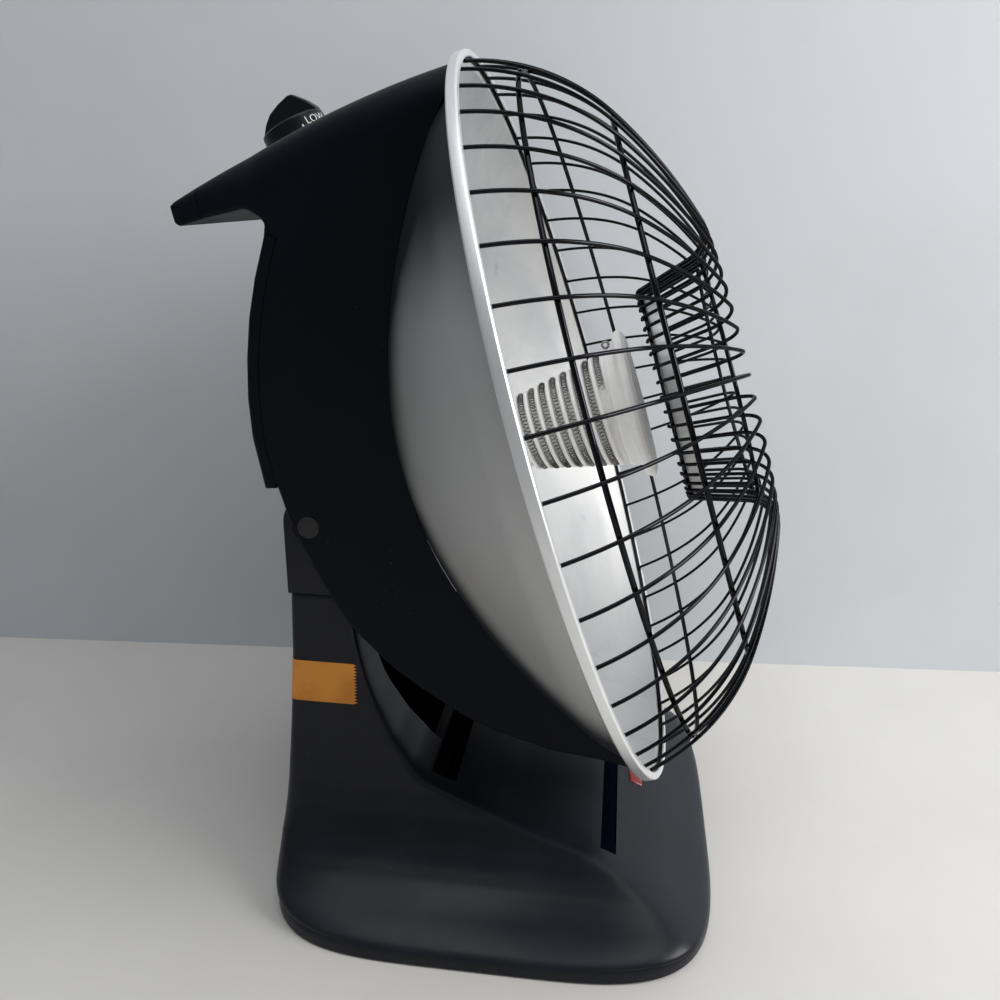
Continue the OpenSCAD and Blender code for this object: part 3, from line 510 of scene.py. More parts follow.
def tape_finish():
    f = Finish("masking tape", (0.62, 0.33, 0.12), Roughness=0.7)
    crepe = f.cloud(260, 3, 0.6, f.stretched(1, 0.12, 1))
    worn = f.ease(f.cloud(45, 4), 0.4, 0.7)
    colour = f.mix((worn * 0.7 + crepe * 0.3).within(), (0.80, 0.31, 0.035), (0.60, 0.215, 0.026))
    return f.feed(Base_Color=colour, Roughness=f.ease(worn, 0.0, 1.0, 0.55, 0.75),
                  Normal=f.relief(crepe, 0.00012, 0.5))


def clear_moulding(name, deep, pale, low, high, **constants):
    f = Finish(name, deep, Coat_Roughness=0.08, **constants)
    smear = f.ease(f.cloud(34, 4, 0.6), 0.4, 0.75)
    return f.feed(Base_Color=f.mix(smear * 0.5, deep, pale), Roughness=f.ease(smear, 0.0, 1.0, low, high),
                  Normal=f.relief(f.cloud(700, 2), 0.00002, 0.2))


def rubber_finish():
    f = Finish("foot rubber", (0.02, 0.02, 0.02))
    dust = f.ease(f.cloud(70, 4), 0.4, 0.7)
    return f.feed(Base_Color=f.mix(dust, (0.018, 0.018, 0.018), (0.07, 0.068, 0.065)),
                  Roughness=f.ease(dust, 0.0, 1.0, 0.7, 0.9), Normal=f.relief(f.cloud(900, 3), 0.00008, 0.4))


def print_finish():
    f = Finish("white print", (0.75, 0.75, 0.74), Roughness=0.5)
    worn = f.ease(f.cloud(600, 3), 0.5, 0.7)
    return f.feed(Base_Color=f.mix(worn, (0.78, 0.78, 0.77), (0.5, 0.5, 0.5)))


base_black = moulding("base moulding", (0.0036, 0.0046, 0.0088), (0.0185, 0.0205, 0.0295),
                      0.32, 0.46, gloss=0.25)
head_black = moulding("housing moulding", (0.0026, 0.0038, 0.0085), (0.0065, 0.0082, 0.0145),
                      0.42, 0.56, 0.00004, 0.10)
knob_black = moulding("knob moulding", (0.0040, 0.0052, 0.0095), (0.0120, 0.0140, 0.0215),
                      0.30, 0.42, gloss=0.25)
inner_black = moulding("switch moulding", (0.02, 0.02, 0.02), (0.05, 0.05, 0.05), 0.5, 0.65)
plate_paint = moulding("painted plate", (0.02, 0.02, 0.02), (0.05, 0.05, 0.05), 0.45, 0.6, 0.00006)
rim_bright = bright_metal("rim band metal", (0.88, 0.89, 0.90), (0.72, 0.73, 0.745),
                          0.32, 0.44, scratch=0.5, dents=0.1, Metallic=0.78)
wire_dark = bright_metal("dark plated wire", (0.013, 0.014, 0.017), (0.008, 0.008, 0.010),
                         0.08, 0.15, dents=0.04, Coat_Weight=0.2, Coat_Roughness=0.03,
                         Specular_Tint=(0.25, 0.25, 0.27, 1))
hub_bright = bright_metal("hub sheet", (0.66, 0.665, 0.67), (0.50, 0.50, 0.505),
                          0.52, 0.66, rings=0.1, dents=0.15)
zinc = bright_metal("zinc plated steel", (0.6, 0.6, 0.6), (0.42, 0.42, 0.4), 0.3, 0.45)
cap_brass = bright_metal("lamp cap brass", (0.75, 0.6, 0.32), (0.5, 0.38, 0.2), 0.25, 0.45)
dish_bright = dish_sheet_finish()
former_white = ceramic_finish("winding former ceramic", 0.55, 0.75)
disc_white = ceramic_finish("disc ceramic", 0.45, 0.62)
holder_white = ceramic_finish("lamp holder ceramic", 0.3, 0.45)
curled_wire = wound_wire_finish()
smoked = clear_moulding("smoked strip", (0.0015, 0.0015, 0.005), (0.004, 0.004, 0.009), 0.34, 0.46, IOR=1.02)
red_lens = clear_moulding("red lens", (0.24, 0.012, 0.012), (0.31, 0.03, 0.03), 0.16, 0.3, Coat_Weight=0.25)
neon_glass = clear_moulding("neon glass", (0.9, 0.45, 0.3), (0.9, 0.6, 0.5),
                            0.05, 0.12, Transmission_Weight=0.6)
foot_rubber = rubber_finish()
tape_paper = tape_finish()
white_print = print_finish()


def dress(piece, finish, body, slot, *nodes):
    """Gives a piece its finish and its moving body, and hides the nodes that it stands for; slot is not used.
    """
    piece.data.materials.clear()
    piece.data.materials.append(finish.material)
    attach(piece, body)
    if nodes:
        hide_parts(*nodes)
    return piece


# ---- base
# The base from the side and from behind, as (z, y) and (z, half its width)
SLOPE = [(28, -100), (45, -63)]
FRONT = [(1.5, -134), (6.5, -134), (8, -133.7), (9.6, -132.9), (11, -131.5), (12.4, -129.2), *SLOPE,
         (58, -15), (71.5, 23), (76, 36), (80.5, 44), (87, 51), (103, 63), (125, 74),
         (140, 79.5), (153, 83), (166, 85.5), (178, 86.5), (193, 87)]
REAR = [(1.5, 140), (6.5, 140), (8.5, 139.6), (10.5, 138.8), (13, 137.5), (35, 135.5), (70, 132.5),
        (110, 130), (150, 127.5), (193, 126)]
WIDE = [(1.5, 152), (6.5, 152), (8, 151.7), (9.6, 150.8), (11, 149.3), (12.4, 146.9), (16.5, 139),
        (21, 128), (27.5, 117), (35.5, 108), (45, 101), (57, 95.5), (72, 91), (90, 87.5), (110, 85),
        (132, 83), (155, 82), (193, 82)]
# The light strip and the pilot lens on the slope
STRIP_Y, PILOT_Y = -68, -85


def smoothed(table, reach=2.2):
    """A table of (z, value), eased at its corners, on a fine even step."""
    step = 0.5
    zs = np.arange(1.5, 193.01, step)
    raw = np.interp(zs, *zip(*table))
    n = int(reach / step)
    pad = np.concatenate([np.full(n, raw[0]), raw, np.full(n, raw[-1])])
    eased = np.array([pad[i:i + 2 * n + 1].mean() for i in range(len(raw))])
    eased[zs <= 4] = raw[zs <= 4]
    eased[-1] = raw[-1]
    return zs, eased


CURVES = [smoothed(table) for table in (FRONT, REAR, WIDE)]


def section(z, wall=0.0, n=176):
    """The outline of the base at a height: flat sides, with corners that grow tighter upwards."""
    y0, y1, half = (float(np.interp(z, *curve)) for curve in CURVES)
    deep, middle, half = (y1 - y0) / 2 - wall, (y1 + y0) / 2, half - wall
    tight = 4.5 + 9.5 * min(1, max(0, (z - 9) / 30))
    tight_front = tight + 5 * min(1, max(0, (z - 9) / 20))
    out = []
    for k in range(n):
        a = tau * (k + 0.5) / n
        # more points go to the corners
        a -= 0.16 * sin(4 * a)
        c, s = cos(a), sin(a)
        p = tight_front if s < 0 else tight
        out.append((half * copysign(abs(c) ** (2 / p), c),
                    middle + deep * copysign(abs(s) ** (2 / p), s), z))
    return np.array(out)


def base_moulding():
    levels = [1.5, 4, 5.5, 6.5, 7.4, 8.2, 9, *np.arange(9.6, 62, 0.9), *np.arange(62, 90, 1.4),
              *np.arange(90, 190, 3.2), 190.5, 191.8, 192.6, 193]
    rings = [section(z) for z in levels]
    # the top edge under the seam is eased
    for k, ease in ((-1, 0.7), (-2, 0.28), (-3, 0.06)):
        middle = rings[k].mean(0)
        way = rings[k][:, :2] - middle[:2]
        rings[k][:, :2] -= np.sign(way) * ease * (np.abs(way) > 5)
    skin = loft("base_moulding", rings, crease=40)
    wall = 3.0
    inner = [section(z, wall) for z in (1.5, *np.arange(12, 60, 2), *np.arange(60, 190, 4))]
    inner[0][:, 2] = -6
    hollow = loft("hollow", [r - np.array([0, 0, wall if i else 0]) for i, r in enumerate(inner)])
    window_outline = [(-53, 158), (-53, 132), (-43, 90), (-43, 79), (43, 79), (43, 90), (53, 132), (53, 158)]
    window = slab_x("window", round_off(window_outline, 1.6), 10, 100)
    slot_box = slab("slot", round_off([(27, 60), (42, 60), (42, 100), (27, 100)], 0.8), 78, 0.6)
    strip = slab("strip", box(5.15, 8), 90.15, 0.2, on_slope(STRIP_Y))
    lamp = slab("lamp", box(5.1, 8), 7.1, 0.2, on_slope(PILOT_Y))
    to_rear = Matrix.Translation((60, 120 + BASE_Y, 24)) @ Matrix.Rotation(radians(-90), 4, "X")
    gland = spin("gland", [(0, 0), (6.1, 0), (6.1, 40), (0, 40)], 48, to_rear)
    return even_shading(cut(skin, hollow, window, slot_box, strip, lamp, gland, crease=32))


def slab_x(name, outline, y0, y1):
    """An outline of (x, z) carried along y."""
    p = anticlockwise(outline)
    rings = [np.column_stack([p[:, 0], np.full(len(p), y), p[:, 1]]) for y in (y1, y0)]
    return loft(name, rings)


def on_slope(y):
    """A place on the front slope of the base, with z square to it."""
    (low_z, low_y), (high_z, high_y) = SLOPE
    slope = atan2(high_z - low_z, high_y - low_y)
    height = low_z + (y - low_y) * tan(slope)
    return Matrix.Translation((0, y + BASE_Y, height)) @ Matrix.Rotation(slope, 4, "X")


dress(base_moulding(), base_black, "base", "base_plastic", "base_shell")
cap_top = [radians(a) for a in range(0, 181, 6)]
cap = [(87, 193.2), (126, 193.2), (126.5, 233)]
cap += [(COLUMN_Y + 17 * cos(a), PIN_Z + 17 * sin(a)) for a in cap_top]
cap += [(92.5, 233)]
dress(slab("column_top", cap, 82, 0.9), base_black, "base", "base_plastic", "column_cap")
strip = round_off([(-5, -3.8), (5, -3.8), (5, -0.8), (0, -0.45), (-5, -0.8)], 0.5)
dress(slab("light_strip", strip, 90, 0.5, on_slope(STRIP_Y)),
      smoked, "base", "smoked_lens", "footlight_lens")


def lens_of_pilot():
    """A red lens with a softly domed face."""
    rows = []
    for inset, up in ((0, -3.5), (0, 0.1), (0.25, 0.5), (0.6, 0.75), (1.3, 1.05), (2.6, 1.3), (4.2, 1.38)):
        outline = round_off(box(7 - inset, 5 - inset), 0.45 + inset * 0.15, 3)
        rows.append([(x, y, up) for x, y in outline])
    return loft("pilot_window", rows, on_slope(PILOT_Y), 45)


dress(lens_of_pilot(), red_lens, "base", "red_lens", "pilot_lens")


def tape_strip():
    """A strip of tape round the rear corner of the column, with a toothed end."""
    rows, teeth, wide, m = [], 13, 26, 26
    round_rear, round_side, tooth, thick = 24, 33, 2.0, 0.12
    for j in range(2 * teeth + 1):
        z = 124.5 + wide * j / (2 * teeth)
        out = section(z, -0.22, 720)[:, :2]
        # the left side, from the rear face round the corner and forwards
        side = out[out[:, 0] < -40]
        behind = (side[:, 1] > 100) & (side[:, 0] > -81)
        rear, flank = side[behind], side[~behind]
        path = np.concatenate([rear[np.argsort(-rear[:, 0])], flank[np.argsort(-flank[:, 1])]])
        d = run_along(path)
        corner = d[np.argmin(np.abs(path[:, 1] - 121))]
        front_end = corner + round_side + tooth * (j % 2) + 0.15 * sin(j * 0.7)
        s = np.linspace(corner - round_rear, front_end, m)
        lift = 0.10 * np.sin(s * 0.35 + j * 0.2) + 0.1
        xs, ys = np.interp(s, d, path[:, 0]), np.interp(s, d, path[:, 1])
        rows.append(np.column_stack([xs - lift * 0.6, ys, np.full(m, z)]))
    outer = np.concatenate(rows)
    inner = outer + np.array([thick, 0, 0])
    n = len(rows)
    skin = lace(n, m, wrap=False)
    back = [tuple(i + n * m for i in f[::-1]) for f in skin]
    ring = list(range(m)) + [i * m + m - 1 for i in range(1, n)]
    ring += [(n - 1) * m + j for j in range(m - 2, -1, -1)] + [i * m for i in range(n - 2, 0, -1)]
    rim = [(b, a, a + n * m, b + n * m) for a, b in zip(ring, ring[1:] + ring[:1])]
    return make("tape_on_column", np.concatenate([outer, inner]), skin + back + rim, UPRIGHT, 60)


dress(tape_strip(), tape_paper, "base", "base_plastic")

# ---- dish and rim
DISH_R, DEEP, FLARE_R, RIM_SEAT = 208.0, 108, 194, -4.8


def bowl_h(r):
    return -DEEP + 102 * (r / 213) ** 2


def dish_h(r):
    """Height of the back of the dish along its axis: a bowl that flares at its edge to meet the rim."""
    flare = max(0.0, (r - FLARE_R) / (DISH_R - FLARE_R)) ** 2
    return bowl_h(r) + (RIM_SEAT - bowl_h(DISH_R)) * flare


def dish_outline():
    radii = [*np.linspace(21, 190, 40), *np.linspace(191, DISH_R, 18)]
    face = [(r - 0.5 * r / DISH_R, dish_h(r) + 1 + 0.25 * (i < 1)) for i, r in enumerate(radii)]
    return [(r, dish_h(r)) for r in radii] + [(214.4, RIM_SEAT), (214.5, -3.8)] + face[::-1]


dress(spin("dish_sheet", dish_outline(), 288, crease=50), dish_bright, "head", "dish_metal", "reflector_dish")
rim = [(209, -6), (215.2, -6), (216, -5.2), (216, -0.8), (215.2, 0), (212, 0), (212, -1.2), (214.8, -1.2),
       (214.8, -4.8), (209, -4.8)]
rim = round_off(rim, [0.3, 0.6, 0.5, 0.6, 0.5, 0.45, 0.4, 0.3, 0.3, 0.3], 3)
dress(spin("rim_band", rim, 288, crease=50), rim_bright, "head", "rim_metal", "rim_ring")


# ---- grille
def circle_through(a, b, c):
    (ax, ay), (bx, by), (cx, cy) = a, b, c
    d = 2 * (ax * (by - cy) + bx * (cy - ay) + cx * (ay - by))
    a2, b2, c2 = ax * ax + ay * ay, bx * bx + by * by, cx * cx + cy * cy
    return ((a2 * (by - cy) + b2 * (cy - ay) + c2 * (ay - by)) / d,
            (a2 * (cx - bx) + b2 * (ax - cx) + c2 * (bx - ax)) / d)


def angle_at(p, c):
    return degrees(atan2(p[1] - c[1], p[0] - c[0]))


def at(c, r, a):
    return (c[0] + r * cos(radians(a)), c[1] + r * sin(radians(a)))


def arc(c, r, a0, a1, n):
    return [at(c, r, a0 + (a1 - a0) * k / n) for k in range(n + 1)]


START, RING_1, RING_2 = (210.5, -1.5), (199.1, 25.7), (160.9, 65.9)
CREST, CREST_R, CREST_TURN, HUB = (89.7, 81.0), 17.0, 72, (62.0, 55.0)
WIRES = 48
FIRST = circle_through(START, RING_1, RING_2)
FIRST_R = dist(START, FIRST)


def wire_line():
    """One wire in (r, h), from the rim over the crest to its hook round the back of the hub ring."""
    a1 = angle_at(RING_2, FIRST)
    crest_in = at(CREST, CREST_R, CREST_TURN)
    lean = angle_at(crest_in, RING_2)
    turn = 2 * (lean - (a1 + 90))
    r2 = dist(crest_in, RING_2) / (2 * sin(radians(abs(turn)) / 2))
    c2 = at(RING_2, -r2, a1)
    # the straight run touches the hub ring's hook
    hook = 2.25
    leave = angle_at(HUB, CREST) + 360 - degrees(acos((CREST_R + hook) / dist(CREST, HUB)))
    meet = leave - 180
    line = arc(FIRST, FIRST_R, angle_at(START, FIRST) - 0.35, a1, 22)
    line += arc(c2, r2, a1, angle_at(crest_in, c2), 20)[1:]
    line += arc(CREST, CREST_R, CREST_TURN, leave, 18)[1:]
    end = at(HUB, hook, meet)
    last = line[-1]
    line += [(last[0] + (end[0] - last[0]) * t, last[1] + (end[1] - last[1]) * t) for t in (0.2, 0.5, 0.8, 1)]
    return line + arc(HUB, hook, meet, meet - 78, 6)[1:]


def grille():
    line = np.array(wire_line())
    path = np.column_stack([line[:, 0], np.zeros(len(line)), line[:, 1]])
    verts, faces = tube_mesh(path, 1.0, 10)
    all_verts, all_faces = [], []
    for i in range(WIRES):
        a = radians((i + 0.5) * 360 / WIRES)
        turn = np.array(((cos(a), -sin(a), 0), (sin(a), cos(a), 0), (0, 0, 1)))
        all_faces += [tuple(v + i * len(verts) for v in f) for f in faces]
        all_verts.append(verts @ turn.T)
    return make("grille_wire_set", np.concatenate(all_verts), all_faces, HEAD, 50)


def ring(name, r, h, thick, node):
    path = [polar(r, a, h) for a in full_circle(240)]
    dress(tube(name, path, thick, 12, True), wire_dark, "head", "grille_chrome", node)


dress(grille(), wire_dark, "head", "grille_chrome", "grille_wires")
INSIDE_WIRE = FIRST_R - 2.45
ring("wire_in_rim", 213.4, -2.5, 1.15, "grille_ring_rim")
ring("outer_ring_wire", *at(FIRST, INSIDE_WIRE, angle_at(RING_1, FIRST)), 1.4, "grille_ring_outer")
ring("middle_ring_wire", *at(FIRST, INSIDE_WIRE, angle_at(RING_2, FIRST)), 1.4, "grille_ring_middle")
ring("mouth_ring_wire", *at(CREST, CREST_R + 2.25, 148), 1.2, "grille_ring_mouth")
ring("hub_ring_wire", *HUB, 1.2, "grille_ring_hub")
cup = [(0, 54.4), (52, 54.4), (58.5, 54.4), (60.7, 56.6), (60.7, 64), (59.9, 64), (59.9, 57.2),
       (58, 55.2), (52, 55.2), (0, 55.2)]
cup = round_off(cup, [0, 0, 1.2, 1.2, 0.35, 0.35, 1, 1, 0, 0], 4)
dress(spin("hub_cup", cup, 160), hub_bright, "head", "hub_metal", "hub_plate")

# ---- element
PITCH, TURNS, END = 7.2, 7.6, 3.8
LONG = PITCH * TURNS + 2 * END
H0, H1 = -38.0, -38.0 + LONG


def former_r(h):
    return 18.8 + 12.8 * (h - H0) / LONG


def ramp(x):
    x = min(1.0, max(0.0, x))
    return x * x * (3 - 2 * x)


def former():
    """The tapered ceramic with its screw ridge, flat at both ends."""
    up, ridge, slack = 290, 3.7, 0.8
    angles = full_circle(120)
    rings = [[polar(0.1, a, H0) for a in angles]]
    for i in range(up + 1):
        h = H0 + LONG * i / up
        row = []
        for a in angles:
            u = ((h - H0) / PITCH - a / tau + 1.25) % 1.0
            crest = ramp((0.5 - abs(u - 0.5) - 0.24) / 0.13)
            fade = ramp(min(i, up - i) / 6)
            row.append(polar(former_r(h) + ridge * crest - slack * (1 - fade), a, h))
        rings.append(row)
    rings.append([(x, y, H1) for x, y, z in rings[0]])
    return loft("winding_former", rings, HEAD, 60)


def winding():
    """The resistance wire: one tight curl, wound along the groove, with straight ends into the ceramic."""
    curl_step, curl_r, wire_r, bend_r, above_groove = 2.35, 1.62, 0.31, 2.8, 2.25
    a0 = tau * (END / PITCH + 0.25)
    a1 = a0 + tau * TURNS

    def turn_point(a):
        h = H0 + PITCH * (a / tau - 0.25)
        return np.array(polar(former_r(h) + above_groove, a, h))

    def end_points(a, way):
        p, q = turn_point(a), turn_point(a + way * 0.01)
        t = (q - p) / np.linalg.norm(q - p)
        out = np.array((p[0], p[1], 0)) / hypot(p[0], p[1])
        bends = np.linspace(0.2, pi / 2, 8)
        bend = [p + bend_r * (sin(b) * t - (1 - cos(b)) * out) for b in bends]
        return bend + [p + bend_r * t - (bend_r + s) * out for s in (1.3, 2.6, 3.9)]

    turns = [turn_point(a) for a in np.linspace(a0, a1, 900)]
    middle = np.array(end_points(a0, -1)[::-1] + turns + end_points(a1, 1))
    run = run_along(middle)
    curls = int(run[-1] / curl_step)
    s = np.linspace(0, run[-1], curls * 8 + 1)
    line = np.stack([np.interp(s, run, middle[:, k]) for k in range(3)], 1)
    u, w = cross_frames(line, False)
    fade = np.clip(np.minimum(s, run[-1] - s) / 4.0, 0, 1)
    turnings = tau * curls * s / run[-1]
    curl = line + (curl_r * fade)[:, None] * (np.cos(turnings)[:, None] * u + np.sin(turnings)[:, None] * w)
    return tube("curled_winding", curl, wire_r, 6)


dress(former(), former_white, "head", "ceramic", "element_cone")
dress(winding(), curled_wire, "head", "element_wire", "element_coil")
disc_h = H1 + 11
disc = [(0, H1 + 0.1), (35.2, H1 + 0.1), (36.2, H1 + 1.5), (36.6, disc_h - 5), (40.6, disc_h - 3.8),
        (44.4, disc_h - 2.3), (45.6, disc_h), (44.4, disc_h + 2.3), (40.6, disc_h + 4),
        (12, disc_h + 4.6), (8, disc_h + 5), (0, disc_h + 5)]
disc = round_off(disc, [0, 0.5, 0.6, 1.4, 1.2, 1.4, 1.6, 1.4, 1.2, 0.8, 0.8, 0], 4)
dress(spin("ceramic_disc", disc, 160), disc_white, "head", "ceramic", "element_disc")
neck = [(0, -92), (15, -92), (16.5, -89), (16, -85), (13.5, -80), (13, -60), (15, -48), (17.8, -40),
        (17.8, -38.1), (0, -38.1)]
neck = round_off(neck, [0, 0.8, 1, 1.5, 2, 3, 3, 1.2, 0.5, 0], 4)
dress(spin("ceramic_neck", neck, 96), disc_white, "head", "ceramic", "element_neck")

# ---- housing
HALF, WALL = 88.0, 2.5
TOP_V, TOP_H, TOP_R = 202.7, -14.5, 540.0
# The housing from the side, as (v, h): under the grip, down the back, and below the dish
LEDGE = [(181, -163), (172.6, -163.7), (170.4, -161.7), (170.2, -149), (168.6, -126.6), (167.2, -123.7),
         (162, -119), (158.2, -117.6)]
BACK = [(152, -121), (134.6, -133), (116.3, -143.6), (96.8, -152.6), (76.4, -160.3), (54.8, -166),
        (25.5, -169.6), (26.4, -162.4)]
UNDER = [(6, -162.3), (-9.8, -160.8), (-39.3, -156.3), (-67.4, -149.6), (-98.3, -133.3), (-112.9, -122.5),
         (-136.2, -103.3), (-151.8, -85), (-169, -59.5), (-181.8, -32.7), (-240.3, 70)]


def top_line(drop=0.0, h_rear=-160.5):
    """The curved top of the housing from the side, from front to rear."""
    out, h_front, n = [], 70.0, 48
    for k in range(n + 1):
        h = h_front + (h_rear - h_front) * k / n
        out.append((TOP_V - TOP_R + sqrt((TOP_R - drop) ** 2 - (h - TOP_H) ** 2), h))
    return out


def shoulder(h):
    """The rounding of the edges along the top, which dies away towards the end of the grip."""
    return float(np.interp(h, (-160.5, -118, 30, 70), (3.5, 18, 18, 1)))


def house_line():
    """The outline of the housing from the side as (v, h), with the rounding of its edge at each point."""
    line = [(p, shoulder(p[1])) for p in top_line()]
    ledge = round_off([line[-1][0]] + LEDGE + BACK[:1], [0, 1, 2, 1.5, 20, 8, 2.5, 5, 4, 0], 5, False)[1:-1]
    back = round_off([LEDGE[-1]] + BACK + UNDER[:1], [0, 4] + [40] * 5 + [1.6, 0.8, 0], 4, False)[1:-1]
    under = round_off([BACK[-1]] + UNDER, [0, 20] + [60] * 9 + [0], 4, False)[1:]
    line += [(p, 2.2) for p in ledge]
    line += [(p, 2.6) for p in back]
    line += [(p, 1.4) for p in under]
    return line


def across_head(name, line, half):
    """A slab across the head, from points of (v, h), each with its own rounding."""
    if area_of([p for p, _ in line]) < 0:
        line = line[::-1]
    return slab(name, [p for p, _ in line], half, [e for _, e in line], HEAD, 8)


def inner_line():
    """The inside of the housing from the side, open behind the cover and below."""
    line = [(p, max(1.0, shoulder(p[1]) - 2.5)) for p in top_line(WALL, -158)]
    # the outline runs clockwise, so it is turned round to be moved inwards
    inset = inwards([p for p, _ in house_line()][::-1], WALL)[::-1]
    upper = [tuple(p) for p in inset if 30 < p[0] < 178 and p[1] < 62]
    below = [tuple(p) for p in inset if p[0] < -105 and p[1] < 62]
    return line + [(p, 1.0) for p in upper + [(28, -190), (-105, -190)] + below]


def dish_clearance():
    bowl = [(r, dish_h(r) - 0.4) for r in range(0, 205, 8)]
    return spin("dish_room", [(0, 90)] + bowl + [(208.4, -8.3), (208.4, -6.3), (300, -6.3), (300, 90)], 256)


def zone(name, outline):
    """A plain block right across the head, that seams are cut with."""
    p = anticlockwise(outline)
    return loft(name, [np.column_stack([np.full(len(p), x), p]) for x in (-130, 130)], HEAD)


def beside(line, distance):
    """An open line moved to its left."""
    p = np.asarray(line, float)
    u = unit(np.diff(p, axis=0))
    before, after = np.vstack([u[:1], u]), np.vstack([u, u[-1:]])
    m = unit(turn_left(before) + turn_left(after))
    moved = p + m * (distance / (m * turn_left(before)).sum(1))[:, None]
    return [tuple(q) for q in moved]


COVER = [(154.5, -119.6)] + BACK[1:6] + [(25.3, -169.6)]
COVER_DEPTH, SEAM = 7, 0.35


def cap_zone(gap):
    return zone("cap", [(214, -143.9 + gap), (160, -149.8 + gap), (160, -190), (214, -190)])


def housing():
    """The shell, with round bosses inside its cheeks and sockets for the plugs."""
    shell = across_head("housing_moulding", house_line(), HALF)
    cover = zone("cover", beside(COVER, 8) + beside(COVER, -COVER_DEPTH - SEAM)[::-1])
    cut(shell, across_head("hollow", inner_line(), HALF - WALL), dish_clearance(), cover, cap_zone(SEAM))
    boss = [(4.3, 82.3), (10, 82.3), (10, 87), (4.3, 87)]
    socket = [(0, 86.6), (5.5, 86.6), (5.5, 95), (0, 95)]
    bosses = [spin("boss", boss, 64, on_pin(s)) for s in (-1, 1)]
    sockets = [spin("socket", socket, 48, on_pin(s)) for s in (-1, 1)]
    cut(shell, *bosses, operation="UNION")
    return even_shading(cut(shell, *sockets, crease=30, refill=True))


def back_panel():
    """The curved cover over the back, with a rim that runs in along its edges."""
    rear = round_off(COVER[:1] + BACK[:-1], [0, 4] + [40] * 5 + [0], 4, False)
    rim = beside(COVER, -COVER_DEPTH)[::-1]
    panel = across_head("back_panel", [(p, 2.6) for p in rear] + [(p, 0.3) for p in rim], HALF)
    hollow = beside(rear[1:-1], -WALL) + beside(COVER, -COVER_DEPTH - 5)[::-1]
    inside = across_head("inside", [(p, 0.5) for p in hollow], HALF - WALL)
    return even_shading(cut(panel, inside, crease=30))


def grip():
    """The end of the grip behind its seam, hollow from the front."""
    piece = across_head("grip", house_line(), HALF)
    room = round_off([(180.5, -120), (179.5, -158.6), (175, -161), (172.8, -160.6), (172.4, -120)], 1.0)
    inner = across_head("inside", [(p, 8.0) for p in room], HALF - WALL - 2)
    cut(piece, cap_zone(0), operation="INTERSECT")
    return even_shading(cut(piece, inner, crease=30, refill=True))


dress(housing(), head_black, "head", "housing_plastic", "housing_shell")
dress(back_panel(), head_black, "head", "housing_plastic", "back_cover")
dress(grip(), head_black, "head", "housing_plastic", "grip_cap")


def buttons():
    """The two domed plugs over the ends of the pin."""
    profile = [(0, 86.7), (5.3, 86.7), (5.3, 88.05), (6.4, 88.05), (6.1, 88.65), (4.8, 88.95), (0, 89.1)]
    profile = round_off(profile, [0, 0.2, 0, 0.1, 0.3, 0.8, 0], 4)
    return join("pivot_buttons", [spin("button", profile, 64, on_pin(s)) for s in (-1, 1)])


dress(buttons(), inner_black, "head", "plug_plastic", "pivot_plugs")

# ---- knob
LEAN = radians(10.2)
KNOB = HEAD @ Matrix.Translation((0, TOP_V - TOP_R * (1 - cos(LEAN)), TOP_H - TOP_R * sin(LEAN)))
KNOB = KNOB @ Matrix.Rotation(-pi / 2 - LEAN, 4, "X")
SKIRT = [(21, 1.8), (20.4, 6), (19.4, 12), (19, 17.5)]


def knob():
    """A round skirt with a tall wedge of a grip across its top."""
    profile = [(12, 1), (20.4, 1), *SKIRT, (18, 18.5), (3, 18.5), (3, 8), (12, 8)]
    skirt = spin("skirt", round_off(profile, [0.2, 0.4, 0.4, 1, 2, 1, 0.7, 0.2, 0.2, 0.2], 4), 128, KNOB)
    side = [(17, 15.5), (17, 19.5), (13, 24.2), (8, 28), (1, 30.5), (-6, 31.9), (-9, 31.5), (-14.8, 25.2),
            (-18.9, 18.5), (-18.9, 15.5)]
    wedge = slab("wedge", round_off(side, [0, 2, 3, 3, 4, 2, 1.2, 4, 2, 0], 5), 5, 1.1, KNOB)
    trim = spin("trim", [(0, 0), (18.7, 0), (18.6, 30), (17, 60), (0, 60)], 96, KNOB)
    cut(wedge, trim, operation="INTERSECT")
    return even_shading(cut(skirt, wedge, operation="UNION", crease=38))


def marks():
    """Two words and ticks, printed round the side of the skirt."""
    verts, faces = [], []

    def stamp(text, azimuth, height, size):
        curve = bpy.data.curves.new("word", "FONT")
        curve.body, curve.size, curve.align_x, curve.resolution_u = text, size, "CENTER", 3
        flat = place_new("word", curve)
        mesh = as_seen(flat)
        start = len(verts)
        for v in mesh.vertices:
            put(azimuth, v.co.x, height + v.co.y)
        faces.extend([tuple(i + start for i in p.vertices) for p in mesh.polygons])
        bpy.data.objects.remove(flat)
        bpy.data.meshes.remove(mesh)
        bpy.data.curves.remove(curve)

    def put(azimuth, across, height):
        radii, heights = zip(*SKIRT)
        r = float(np.interp(height, heights, radii)) + 0.07
        a = azimuth + across / r
        verts.append(polar(r, a, height))

    def tick(azimuth):
        start, wide, low, high = len(verts), 0.45, 9.8, 12.0
        for across, height in ((-wide, low), (wide, low), (wide, high), (-wide, high)):
            put(azimuth, across, height)
        faces.append(tuple(range(start, start + 4)))

    stamp("LOW", radians(-119), 11.0, 6.4)
    stamp("HIGH", radians(-22), 11.0, 6.4)
    for a in (-149, -94, -70, -46, 6):
        tick(radians(a))
    return make("knob_marks", verts, faces, KNOB)


dress(knob(), knob_black, "knob", "knob_plastic", "thermostat_knob")
dress(marks(), white_print, "knob", "knob_plastic")

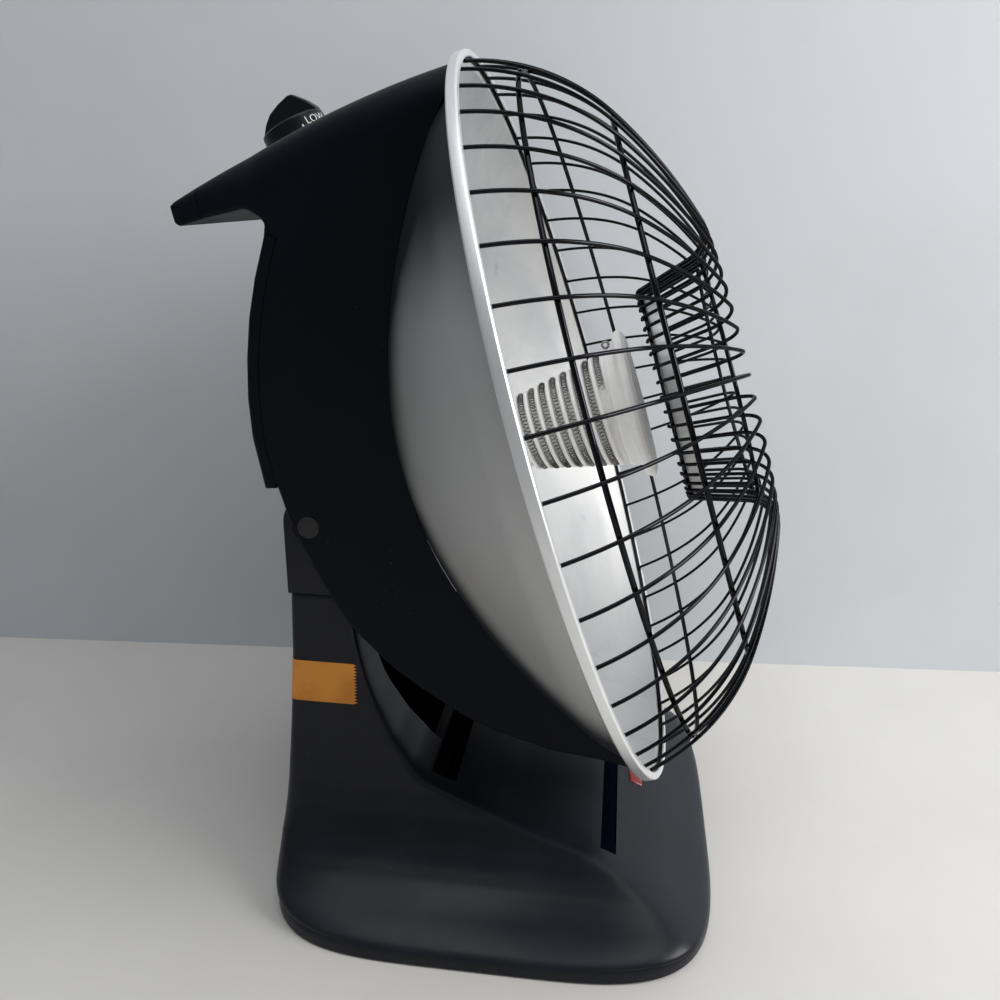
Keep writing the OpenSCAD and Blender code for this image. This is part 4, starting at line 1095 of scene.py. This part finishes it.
# ---- pieces left as they are
for finish, nodes in {
        plate_paint: "bottom_plate", foot_rubber: "rubber_feet", neon_glass: "pilot_lamp",
        curled_wire: "element_eyelet", cap_brass: "screw_shell", holder_white: "lamp_holder",
        inner_black: "tip_switch tip_plunger cord_gland thermostat_body",
        zinc: "bottom_screws pivot_pin cover_screws holder_bracket bracket_screws thermostat_nut "
              "thermostat_spindle"}.items():
    for node in nodes.split():
        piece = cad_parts[node]
        for k in range(len(piece.data.materials)):
            piece.data.materials[k] = finish.material


# ---- floor, wall and light
def ground(name, points, colour, rough, one_sided=False):
    """A flat stretch of table or wall; a one-sided one can be looked through from behind."""
    mesh = bpy.data.meshes.new(name)
    mesh.from_pydata(points, [], [tuple(range(len(points)))])
    plane = place_new(name, mesh)
    f = Finish(name, colour)
    patch = f.cloud(3, 5, 0.6)
    specks = f.specks(60, 0.07, 9, 0.56, 0.6)
    worn = (f.ease(patch, 0.35, 0.7) + specks * 0.6).within()
    f.feed(Base_Color=f.mix(worn, colour, tuple(c * 0.93 for c in colour)),
           Roughness=f.ease(patch, 0.3, 0.7, rough, rough + 0.1),
           Normal=f.relief(f.cloud(120, 4), 0.0004, 0.15))
    if one_sided:
        behind = f.node("ShaderNodeNewGeometry", out="Backfacing")
        clear = f.node("ShaderNodeBsdfTransparent")
        both = f.node("ShaderNodeMixShader", inputs={0: behind, 1: Value(f, f.shader.outputs[0]), 2: clear})
        f.tree.links.new(both.socket, f.tree.nodes["Material Output"].inputs["Surface"])
    mesh.materials.append(f.material)


ground("table", [(-4, -4, 0), (4, -4, 0), (4, 4, 0), (-4, 4, 0)], (0.68, 0.665, 0.635), 0.55)
# The foot of the wall runs through these two points of the table
WALL_LEFT, WALL_RIGHT = Vector((0.1913, 0.5113, 0)), Vector((0.2726, -0.4335, 0))
along_wall, wall_height = (WALL_RIGHT - WALL_LEFT) * 3, Vector((0, 0, 3))
wall_ends = [WALL_LEFT - along_wall, WALL_RIGHT + along_wall]
ground("wall", wall_ends + [end + wall_height for end in wall_ends[::-1]], (0.66, 0.69, 0.73), 0.6, True)

scene = bpy.context.scene
scene.view_settings.view_transform = "Standard"


def camera():
    """The camera at the left of the heater, a little above it, turned a degree about its own axis."""
    yaw, pitch, roll = (radians(a) for a in (7.08, 18.14, 1.0))
    ahead = Vector((cos(yaw) * cos(pitch), sin(yaw) * cos(pitch), -sin(pitch)))
    right = ahead.cross(Vector((0, 0, 1))).normalized()
    down = ahead.cross(right)
    r2 = cos(roll) * right - sin(roll) * down
    d2 = sin(roll) * right + cos(roll) * down
    data = bpy.data.cameras.new("camera")
    data.sensor_width, data.lens, data.clip_start = 36, 34.31, 0.01
    seen = place_new("camera", data)
    stand = Matrix.Translation((-0.5735, -0.0588 + BASE_Y * MM, 0.4200))
    seen.matrix_world = stand @ Matrix((r2, -d2, -ahead)).transposed().to_4x4()
    return seen


scene.camera = camera()


def lamp(name, place, aim, size, watts, colour=(1, 1, 1)):
    data = bpy.data.lights.new(name, "AREA")
    data.shape, data.size, data.energy, data.color = "SQUARE", size, watts, colour
    light = place_new(name, data)
    light.location = place
    light.rotation_euler = (Vector(aim) - Vector(place)).to_track_quat("-Z", "Y").to_euler()
    light.visible_camera = False


lamp("window light", (-0.55, -1.7, 1.25), (0.1, 0, 0.25), 1.0, 33, (1, 0.99, 0.97))
lamp("ceiling light", (-0.3, -0.1, 2.2), (0.1, 0, 0.2), 1.6, 19, (0.97, 0.985, 1))

world = bpy.data.worlds.new("room")
scene.world = world
world.use_nodes = True
sky = world.node_tree.nodes["Background"]
sky.inputs["Color"].default_value = (0.74, 0.76, 0.80, 1)
sky.inputs["Strength"].default_value = 0.26
